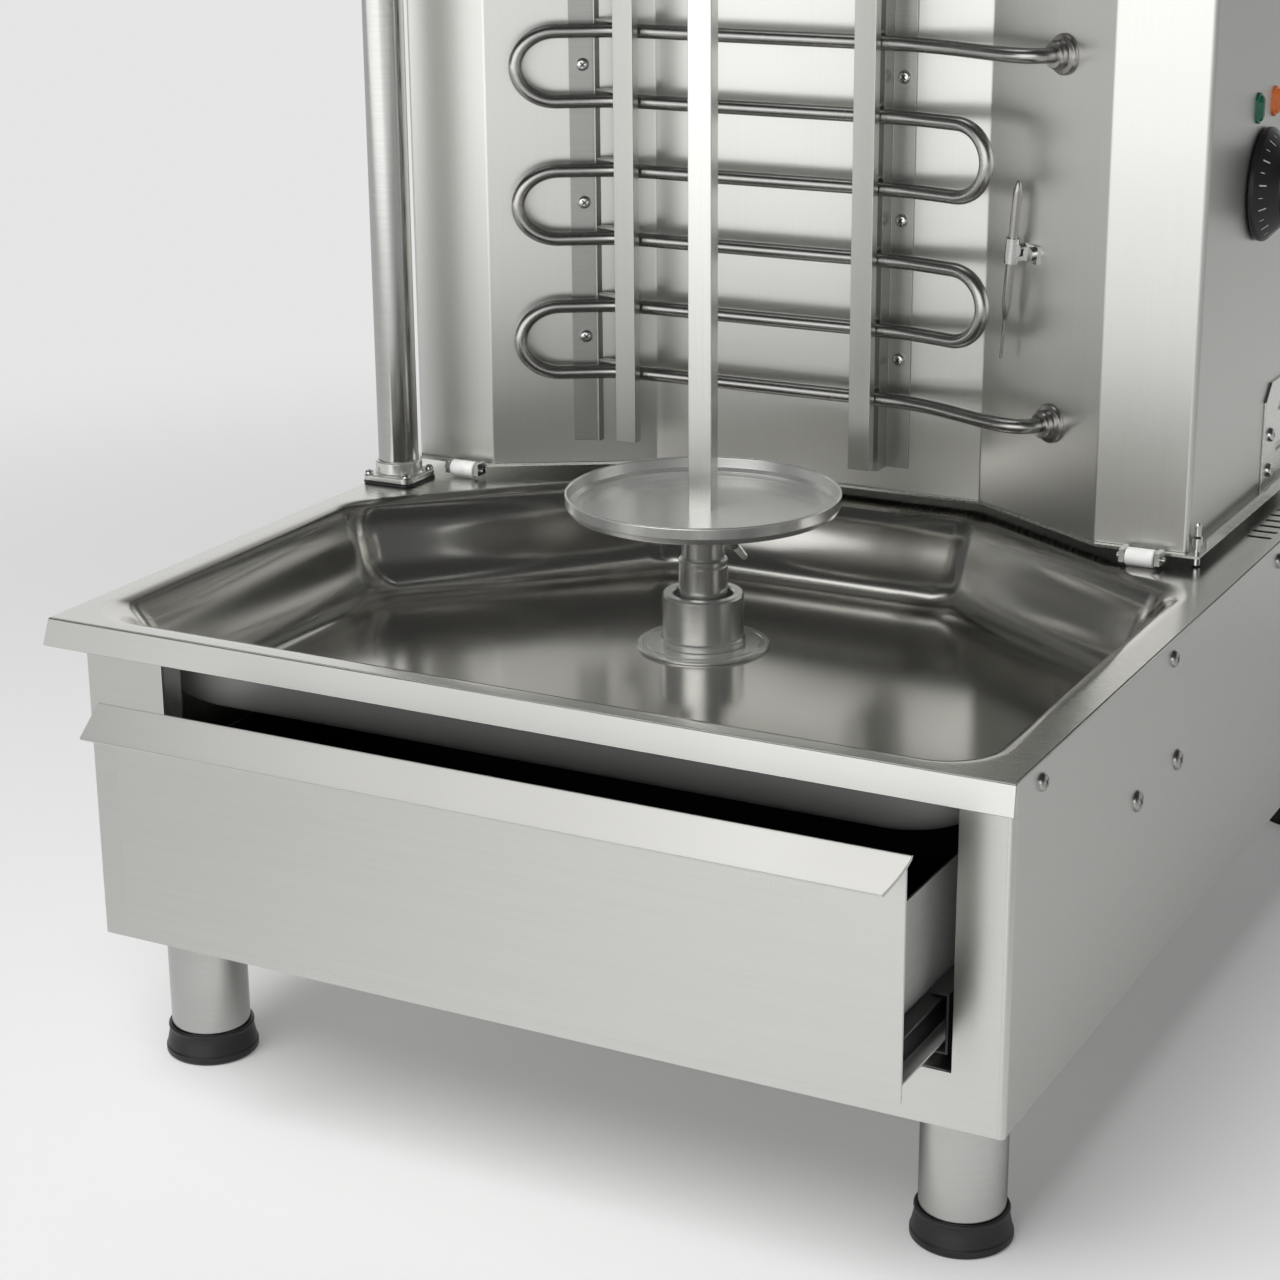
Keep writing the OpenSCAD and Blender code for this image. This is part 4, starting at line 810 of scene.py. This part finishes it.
spit_lathe("round_meat_plate", plate_steel, "meat_plate",
           [(0, 274.5), (68, 274.5), (73.6, 275.8), (75.3, 279), (75.5, 284.6), (75.1, 285.3), (74.4, 285.3),
            (73.9, 284.4), (73.5, 279.2), (71.6, 276.9), (66.5, 276.1), (0, 276.1)], 1.2, 128, 4)


def make_spit():
    c, s = math.cos(TURN), math.sin(TURN)
    corners = [(SPIT[0] + x * c - y * s, SPIT[1] + x * s + y * c)
               for x, y in rectangle(-SPIT_HALF, SPIT_HALF, -SPIT_HALF, SPIT_HALF)]
    bm = bmesh.new()
    add_prism(bm, filleted(corners, 0.7, 3), *SPIT_Z)
    stands_for(from_bmesh("square_spit", bm, steel_spit, 25), "spit_bar")


def make_wing_screw():
    axis = Vector((math.cos(TURN), math.sin(TURN), 0))
    side = Vector((-axis.y, axis.x, 0))
    origin = Vector((*SPIT, WING_Z))
    bm = bmesh.new()
    add_lathe(bm, WING_SHANK, origin, axis, 28)
    for sign in (-1, 1):
        wing = [origin + axis * p.x + Vector((0, 0, sign * p.y)) for p in filleted(WING_OUTLINE, 1.2, 4)]
        low, high = (add_loop(bm, [p + side * half for p in wing]) for half in (-WING_HALF, WING_HALF))
        bridge(bm, low, high)
        bm.faces.new(list(reversed(low)))
        bm.faces.new(high)
    stands_for(bevelled(from_bmesh("wing_screw_head", bm, bright, 35), 0.4, 2), "wing_screw")


make_spit()
make_wing_screw()
dressed("gear_motor", paint, 1.5, 3)
dressed("motor_bracket", zinc, 0.6)
dressed("cable_gland", plastic, 0.5)
dressed("terminal_block", ceramic, 0.6)

# Post and arm

POST, POST_BORE, POST_R, POST_TOP = (-247.5, 314.0), 10, 12, 868
GASKET_TOP, PLATE_TOP = 249.5, 253.5
POST_COLLAR = ((14.8, 253.4), (14, 254.6), (14, 260.6), (13.2, 261.5), (12.1, 261.5), (12.1, 253.4))


def make_post():
    low = PLATE_TOP - 2
    tube = [(POST_BORE, low), (POST_R, low), (POST_R, POST_TOP), (POST_BORE, POST_TOP)]
    stands_for(lathe("post_tube", steel_tube, tube, (*POST, 0), segments=80), "post")

    def square(side, r):
        h = side / 2
        return filleted([(POST[0] + x, POST[1] + y) for x, y in rectangle(-h, h, -h, h)], r, 8)

    bm = bmesh.new()
    add_prism(bm, square(34, 5.5), DECK_Z, GASKET_TOP)
    stands_for(bevelled(from_bmesh("post_seal", bm, rubber, 35), 0.4, 2), "post_gasket")
    bm = bmesh.new()
    add_prism(bm, square(33, 5), GASKET_TOP, PLATE_TOP)
    stands_for(bevelled(from_bmesh("post_foot_plate", bm, steel_deck, 35), 0.9, 3), "post_flange_plate")
    collar = filleted(POST_COLLAR, 0.5, 3, closed=False)
    rides_with(lathe("post_foot_collar", turned, collar, (*POST, 0), segments=72), "post_flange_plate")
    bolts = [((POST[0] + x, POST[1] + y, PLATE_TOP), (0, 0, 1), 2.6, 2.2)
             for x in (-13, 13) for y in (-13, 13)]
    stands_for(screw_piece("post_foot_bolts", bright, bolts), "post_bolts")


make_post()
dressed("top_arm", steel_x, 1.2, 3)
spit_lathe("top_pin_knob", plastic, "top_pin",
           [(0, 826), (3, 826), (4, 828), (4, 841), (5, 843), (5, 874.4), (9, 874.4), (12, 878.4),
            (12, 892.4), (9, 896.4), (0, 896.4)], 1.0, 48)

# Tower on its rollers

TX = -10.0
TOWER_L, TOWER_R, TOWER_Y, TOWER_BACK = -253.0, 233.0, 346.0, 560.0
TOWER_Z, TOWER_TOP = 256.0, 850.0
RECESS, PANEL_HALF, PANEL_Y = 190.0, 104.0, 396.0
ROLLER_XS, ROLLER_Z = (-215.0, 210.0), 253.4
ROLLER_PROFILE = ((1.6, -8), (4.4, -8), (5, -7.2), (5, 7.2), (4.4, 8), (1.6, 8))
LOCK_PROFILE = (
    (0, 248.4), (1.6, 248.6), (2, 249.2), (2, 260.4), (3, 260.6), (3, 264.2), (2, 265.4), (2, 271),
    (1.5, 272.6), (0, 273))


# The tower's shell, one sheet bent round its sides and into the recess
def make_tower():
    line = [(TOWER_R, TOWER_BACK), (TOWER_R, TOWER_Y), (TX + RECESS, TOWER_Y), (TX + PANEL_HALF, PANEL_Y),
            (TX - PANEL_HALF, PANEL_Y), (TX - RECESS, TOWER_Y), (TOWER_L, TOWER_Y), (TOWER_L, TOWER_BACK)]
    face = filleted(line, 3.2, 7, closed=False)
    section = face + offset_line(face, -SHEET)[::-1]
    bm = bmesh.new()
    ends = [add_loop(bm, [(p.x, p.y, z) for p in section]) for z in (TOWER_Z, TOWER_TOP)]
    bridge(bm, *ends)
    close_sheet(bm, ends, len(face))
    shell = bevelled(from_bmesh("tower_sheet", bm, steel_z), 0.35, 2, 60)
    shell.data.materials.append(steel_tower_side_shaded)
    # Faces that look along x take the darker copy, painted shade on the tower's sides
    for f in shell.data.polygons:
        if abs(f.normal.x) > 0.9:
            f.material_index = 1
    stands_for(shell, "tower_shell")


def make_rollers(name, node, y):
    profile = filleted(ROLLER_PROFILE, 0.5, 3, closed=False)
    bm = bmesh.new()
    for x in ROLLER_XS:
        add_lathe(bm, profile, (x, y, ROLLER_Z), (1, 0, 0), 40)
    stands_for(from_bmesh(name, bm, nylon, 40), node)


make_tower()
dressed("tower_back", steel_x, 0.4)
dressed("tower_top", steel_deck, 0.6)
dressed("carriage_tray", steel_y, 0.4)
dressed("tray_brackets", steel_y, 0.4)
dressed("roller_brackets", zinc, 0.4)
dressed("roller_pins", bright, 0.3)
make_rollers("front_roller_wheels", "front_rollers", 336.5)
make_rollers("rear_roller_wheels", "rear_rollers", 579.5)
stands_for(lathe("lock_pin_stem", bright, LOCK_PROFILE, (*LOCK, 0), segments=32), "lock_pin")

# Heaters

HX = TX - 27
ROD_Y = PANEL_Y - 18
ROD_R = 4.1
STRAIGHT, SOFT = 92.0, 8.0
SLOPE_L, SLOPE_R = math.tan(math.radians(33)), math.tan(math.radians(17))
PITCH_Z, PASSES, HALF_SPAN = 40.0, 6, 146
ZONES, ZONE_H = (314.0, 574.0), (PASSES - 1) * PITCH_Z

# The recess's slanting sides, and where the right one carries a heater's ends
WING_RUN, WING_DEPTH = RECESS - PANEL_HALF, PANEL_Y - TOWER_Y
WING_ANGLE = math.atan2(WING_DEPTH, WING_RUN)
WING_IN = Vector((math.cos(math.pi / 2 - WING_ANGLE), math.sin(math.pi / 2 - WING_ANGLE)))
TERMINAL = Vector((TX + RECESS, TOWER_Y)) + 0.4 * Vector((-WING_RUN, WING_DEPTH))
NUT_PROFILE = ((4.2, -8.6), (6.8, -8.4), (7.6, -7), (7.6, -3.2), (10.4, -2.4), (11, -1.4), (11, 0), (4.2, 0))
NUT_BACK = ((4.2, 3), (9, 3), (9, 8), (4.2, 8))


def bent(t):
    return (t + math.sqrt(t * t + SOFT * SOFT)) / 2


# Depth of a heater's tube, which is straight in the middle and comes forward at both sides
def tube_y(x):
    return ROD_Y - SLOPE_L * bent(HX - STRAIGHT - x) - SLOPE_R * bent(x - HX - STRAIGHT)


# A heater's middle line: in from one terminal, to and fro down the passes, and out to the other
def heater_path(base):
    lead_x = HX + STRAIGHT + 14
    start = Vector((lead_x, tube_y(lead_x)))
    end = TERMINAL - WING_IN * 9
    lead = bezier((start, start + 34 * Vector((1, -SLOPE_R)).normalized(), end - 24 * WING_IN, end), 20)
    tail = lead + [TERMINAL, TERMINAL + WING_IN * 14]
    bend_r = PITCH_Z / 2
    left, right_x = HX - HALF_SPAN + bend_r + ROD_R, HX + HALF_SPAN - bend_r - ROD_R
    top = base + ZONE_H
    path = [Vector((p.x, p.y, top)) for p in reversed(tail)]

    def run(x0, x1, z):
        for step in stepped(x1 - x0, 34)[1:-1]:
            x = x0 + step
            path.append(Vector((x, tube_y(x), z)))

    def bend(x, side, z):
        for a in stepped(math.pi, 22):
            bx = x + side * bend_r * math.sin(a)
            path.append(Vector((bx, tube_y(bx), z - bend_r * (1 - math.cos(a)))))

    run(lead_x, left, top)
    for k in range(PASSES - 1):
        z = top - k * PITCH_Z
        at_left = k % 2 == 0
        bend(left if at_left else right_x, -1 if at_left else 1, z)
        if k == PASSES - 2:
            run(left, lead_x, base)
        elif at_left:
            run(left, right_x, z - PITCH_Z)
        else:
            run(right_x, left, z - PITCH_Z)
    return path + [Vector((p.x, p.y, base)) for p in tail]


def make_heaters():
    for zone, node in zip(ZONES, ("heater_lower", "heater_upper")):
        bm = bmesh.new()
        add_tube(bm, heater_path(zone), ROD_R, 24)
        stands_for(from_bmesh(node + "_tube", bm, heater_metal, 60), node)


def make_nuts():
    profile = filleted(NUT_PROFILE, 0.5, 3, closed=False)
    axis = Vector((*WING_IN, 0))
    bm = bmesh.new()
    for zone in ZONES:
        for z in (zone, zone + ZONE_H):
            add_lathe(bm, profile, (*TERMINAL, z), axis, 40)
            add_lathe(bm, NUT_BACK, (*TERMINAL, z), axis, 6)
    stands_for(from_bmesh("terminal_flange_nuts", bm, nut_steel, 40), "heater_nuts")


# Screws that hold the strips to the recess, and the side bracket to the tower
def make_tower_screws():
    places = []
    left_x, right_x = -150.0, 43.0
    left_y = PANEL_Y - (TX - PANEL_HALF - left_x) * WING_DEPTH / WING_RUN - SHEET / math.cos(WING_ANGLE)
    left_axis = (math.sin(WING_ANGLE), -math.cos(WING_ANGLE), 0)
    for rise in (20, 100, 180, 280, 380, 440):
        z = ZONES[0] + rise
        places.append(((left_x, left_y, z), left_axis, 3.8, 2.4))
        places.append(((right_x, PANEL_Y - SHEET, z), (0, -1, 0), 3.8, 2.4))
    for z in (268, 289):
        for y in (492, 548):
            places.append(((TOWER_R + SHEET, y, z), (1, 0, 0), 4.2, 2.4))
    stands_for(screw_piece("tower_screw_heads", bright, places), "tower_screws")


# Thermostat bulbs that lean a little, clear of the recess's right side
def make_probes():
    bulb = ((0, 0), (0.9, 0.5), (1.0, 22), (1.3, 24), (2.6, 32), (2.6, 94), (2.0, 98), (1.1, 100.5), (0, 101))
    below, rise, clear = 61, 91, 7
    foot = Vector((TX + PANEL_HALF, PANEL_Y)) + 0.3 * Vector((WING_RUN, -WING_DEPTH))
    spot = foot + clear * Vector((-math.sin(WING_ANGLE), -math.cos(WING_ANGLE)))
    along = Vector((math.cos(WING_ANGLE), -math.sin(WING_ANGLE)))
    lean = math.radians(6)
    axis = Vector((*(along * math.sin(lean)), math.cos(lean)))
    bm = bmesh.new()
    for zone in ZONES:
        add_lathe(bm, bulb, Vector((*spot, zone + rise)) - axis * below, axis, 24)
    stands_for(from_bmesh("probe_bulbs", bm, nut_steel, 50), "probes")


make_heaters()
make_nuts()
dressed("rear_strips", strip_steel, 0.4)
dressed("guard_bars", guard_steel, 0.5, 2)
dressed("rod_clips", strip_steel, 0.3)
make_tower_screws()
make_probes()
dressed("probe_clips", bright, 0.3)
dressed("thermostats", ceramic, 0.6)

# Controls

CY = 446.0
KNOB_ZS = (440.0, 700.0)
KNOB_PROFILE = (
    (3.1, 0.4), (29.6, 0.4), (31, 1.6), (31, 3.6), (30.2, 4.8), (21.4, 13.2), (19.8, 15), (18.8, 26.4),
    (17.6, 28), (3, 28), (0, 28))
TICKS, TICK_START, TICK_SWEEP, TICK_LIFT = 18, 60, 240, 0.08

# A tick's ends as (radius, height) on the knob's skirt, and half its width, for the long and the short ones
TICK_OUTER = (28.6, 6.55)
TICK_KINDS = (((25.4, 9.63), 0.4), ((26.8, 8.28), 0.25))
PILOT_R, PILOT_HALF, PILOT_RISE, PILOT_SIDE = 4.5, 3.0, 43, 16
PILOT_RINGS = (
    (-18, 0), (0, 0), (0, 0.9), (1.2, 0.9), (1.6, 0.5), (1.7, -0.3), (2.6, -0.8), (3.4, -1.8), (3.8, -3.4))


def make_knob(name, node, z):
    centre = Vector((TOWER_R, CY, z))
    profile = filleted(KNOB_PROFILE, 0.9, 3, closed=False)
    stands_for(lathe(name, plastic, profile, centre, (1, 0, 0), 96, 40), node)
    bm = bmesh.new()
    for i in range(TICKS):
        a = math.radians(TICK_START + i * TICK_SWEEP / (TICKS - 1))
        radial = Vector((0, math.cos(a), math.sin(a)))
        tangent = Vector((0, -math.sin(a), math.cos(a)))
        inner, half = TICK_KINDS[i % 2]
        corners = ((inner, -half), (TICK_OUTER, -half), (TICK_OUTER, half), (inner, half))
        bm.faces.new(add_loop(bm, [
            centre + radial * r + Vector((x + TICK_LIFT, 0, 0)) + tangent * w for (r, x), w in corners]))
    rides_with(from_bmesh(name + "_ticks", bm, marking, 30), node)


# Oblong lenses, one over each knob, as rings of (distance out, growth)
def make_pilots(name, node, side, mat):
    bm = bmesh.new()
    for z in KNOB_ZS:
        rings = []
        for out, grow in PILOT_RINGS:
            r = PILOT_R + grow
            ring = []
            for a in circle(32):
                half = PILOT_HALF if math.sin(a) >= 0 else -PILOT_HALF
                y = CY + side * PILOT_SIDE + r * math.cos(a)
                ring.append((TOWER_R + out, y, z + PILOT_RISE + half + r * math.sin(a)))
            rings.append(add_loop(bm, ring))
        for a, b in zip(rings, rings[1:]):
            bridge(bm, a, b)
        bm.faces.new(rings[0])
        bm.faces.new(rings[-1])
    stands_for(from_bmesh(name, bm, mat, 40), node)


make_knob("dial_lower_knob", "knob_lower", KNOB_ZS[0])
make_knob("dial_upper_knob", "knob_upper", KNOB_ZS[1])
make_pilots("green_pilot_lights", "pilot_green", -1, green)
make_pilots("orange_pilot_lights", "pilot_orange", 1, orange)
dressed("switch_housing", plastic, 0.6)
dressed("motor_rocker", plastic, 0.6)

# Studio: a pale floor that keeps the shadow, a pale backdrop, a light band before the object and one overhead

PALE, FLOOR_GREY, FLOOR_GLOW = 0.79, 0.74, 0.15
FLOOR_RINGS = (0.05, 1.5, 4, 14)


def math_node(nodes, links, kind, a, b):
    node = nodes.new("ShaderNodeMath")
    node.operation = kind
    for socket, value in zip(node.inputs, (a, b)):
        if isinstance(value, float):
            socket.default_value = value
        else:
            links.new(value, socket)
    return node.outputs["Value"]


def product(nodes, links, first, *others):
    for value in others:
        first = math_node(nodes, links, "MULTIPLY", first, value)
    return first


def largest(nodes, links, first, *others):
    for value in others:
        first = math_node(nodes, links, "MAXIMUM", first, value)
    return first


def smooth_step(nodes, links, value, start, end, low=0.0, high=1.0):
    node = nodes.new("ShaderNodeMapRange")
    node.interpolation_type = "SMOOTHSTEP"
    for name, v in (("From Min", start), ("From Max", end), ("To Min", low), ("To Max", high)):
        node.inputs[name].default_value = v
    links.new(value, node.inputs["Value"])
    return node.outputs["Result"]


# One where a ray comes from the camera or through glass
def seen(nodes, links):
    path = nodes.new("ShaderNodeLightPath")
    return largest(nodes, links, path.outputs["Is Camera Ray"], path.outputs["Is Transmission Ray"])


def mixed(nodes, links, share, shader, other):
    mix = nodes.new("ShaderNodeMixShader")
    links.new(share, mix.inputs["Fac"])
    links.new(shader, mix.inputs[1])
    links.new(other, mix.inputs[2])
    return mix.outputs["Shader"]


# A pale floor that turns into an even glow away from the object
def floor_material():
    mat, nodes, links, bsdf = new_material("studio_floor")
    bsdf.inputs["Base Color"].default_value = (FLOOR_GREY, FLOOR_GREY, FLOOR_GREY, 1)
    bsdf.inputs["Roughness"].default_value = 0.7
    bsdf.inputs["Specular IOR Level"].default_value = 0.1
    bsdf.inputs["Emission Color"].default_value = (1, 1, 1, 1)
    links.new(product(nodes, links, seen(nodes, links), FLOOR_GLOW), bsdf.inputs["Emission Strength"])
    coord = nodes.new("ShaderNodeTexCoord")
    length = nodes.new("ShaderNodeVectorMath")
    length.operation = "LENGTH"
    links.new(coord.outputs["Object"], length.inputs[0])
    far = smooth_step(nodes, links, length.outputs["Value"], 0.7, 1.7)
    sheet = nodes.new("ShaderNodeEmission")
    sheet.inputs["Color"].default_value = (PALE, PALE, PALE, 1)
    floor = mixed(nodes, links, far, bsdf.outputs["BSDF"], sheet.outputs["Emission"])

    # Reflections show the floor dim round the object and bright far before it
    split = nodes.new("ShaderNodeSeparateXYZ")
    links.new(coord.outputs["Object"], split.inputs["Vector"])
    x, y = split.outputs["X"], split.outputs["Y"]
    front = smooth_step(nodes, links, y, -1.5, -1.1, 1.0, 0.0)
    left_side = smooth_step(nodes, links, x, -0.6, 0.1, 0.9, 0.0)
    right_side = smooth_step(nodes, links, x, 0.35, 0.8, 0.0, 0.85)
    path = nodes.new("ShaderNodeLightPath")
    zone = largest(nodes, links, front, left_side, right_side)
    share = product(nodes, links, zone, path.outputs["Is Glossy Ray"])
    far_out = smooth_step(nodes, links, y, -2.7, -1.5, 1.5, 0.50)
    to_right = smooth_step(nodes, links, x, 0.3, 1.4, 1.0, 0.6)
    mirrored = nodes.new("ShaderNodeEmission")
    links.new(product(nodes, links, far_out, to_right), mirrored.inputs["Strength"])
    surface = mixed(nodes, links, share, floor, mirrored.outputs["Emission"])
    links.new(surface, nodes["Material Output"].inputs["Surface"])
    return mat


def make_floor():
    bm = bmesh.new()
    rings = [add_loop(bm, [(r * math.cos(a), r * math.sin(a), 0) for a in circle(96)]) for r in FLOOR_RINGS]
    bm.faces.new(rings[0])
    for low, high in zip(rings, rings[1:]):
        bridge(bm, low, high)
    mesh = bpy.data.meshes.new("floor")
    bmesh.ops.recalc_face_normals(bm, faces=bm.faces)
    bm.to_mesh(mesh)
    bm.free()
    add_object("floor", mesh, floor_material())


# The light from each direction: every part of it is a level that fades over a range of x, y or z
def make_world():
    world = bpy.data.worlds.new("studio")
    scene.world = world
    world.use_nodes = True
    nodes, links = world.node_tree.nodes, world.node_tree.links
    coord = nodes.new("ShaderNodeTexCoord")
    split = nodes.new("ShaderNodeSeparateXYZ")
    links.new(coord.outputs["Generated"], split.inputs["Vector"])
    x, y, z = (split.outputs[a] for a in "XYZ")
    backdrop = product(nodes, links, smooth_step(nodes, links, y, 0.1, 0.6, 0.03, 0.78),
                       smooth_step(nodes, links, x, -0.05, 0.30, 1.0, 0.5),
                       smooth_step(nodes, links, z, 0.45, 0.70, 1.0, 0.1))
    band = product(nodes, links, smooth_step(nodes, links, z, 0.38, 0.46, 1.0, 0.0),
                   smooth_step(nodes, links, y, -0.97, -0.70, 1.5, 0.0))
    overhead = product(nodes, links, smooth_step(nodes, links, z, 0.66, 0.95, 0.0, 1.5),
                       smooth_step(nodes, links, y, -0.30, -0.14),
                       smooth_step(nodes, links, y, 0.02, 0.18, 1.0, 0.0),
                       smooth_step(nodes, links, x, -0.20, 0.0, 1.0, 0.0))
    sides = smooth_step(nodes, links, z, 0.35, 0.60, 0.09, 0.04)
    level = nodes.new("ShaderNodeMix")
    level.data_type = "FLOAT"
    links.new(seen(nodes, links), level.inputs["Factor"])
    links.new(largest(nodes, links, backdrop, band, overhead, sides), level.inputs["A"])
    level.inputs["B"].default_value = PALE
    links.new(level.outputs["Result"], nodes["Background"].inputs["Strength"])
    nodes["Background"].inputs["Color"].default_value = (1, 1, 1, 1)


# One large soft lamp, up at the front, that leaves no picture of itself in the steel
def make_lamp():
    spot, target = Vector((-0.35, -1.7, 2.4)), Vector((0, 0, 0.2))
    data = bpy.data.lights.new("key", "AREA")
    data.shape = "RECTANGLE"
    data.size, data.size_y = 2.2, 1.8
    data.energy = 74
    key = bpy.data.objects.new("key", data)
    key.location = spot
    key.rotation_euler = (target - spot).to_track_quat("-Z", "Y").to_euler()
    key.visible_glossy = False
    scene.collection.objects.link(key)


make_floor()
make_world()
make_lamp()
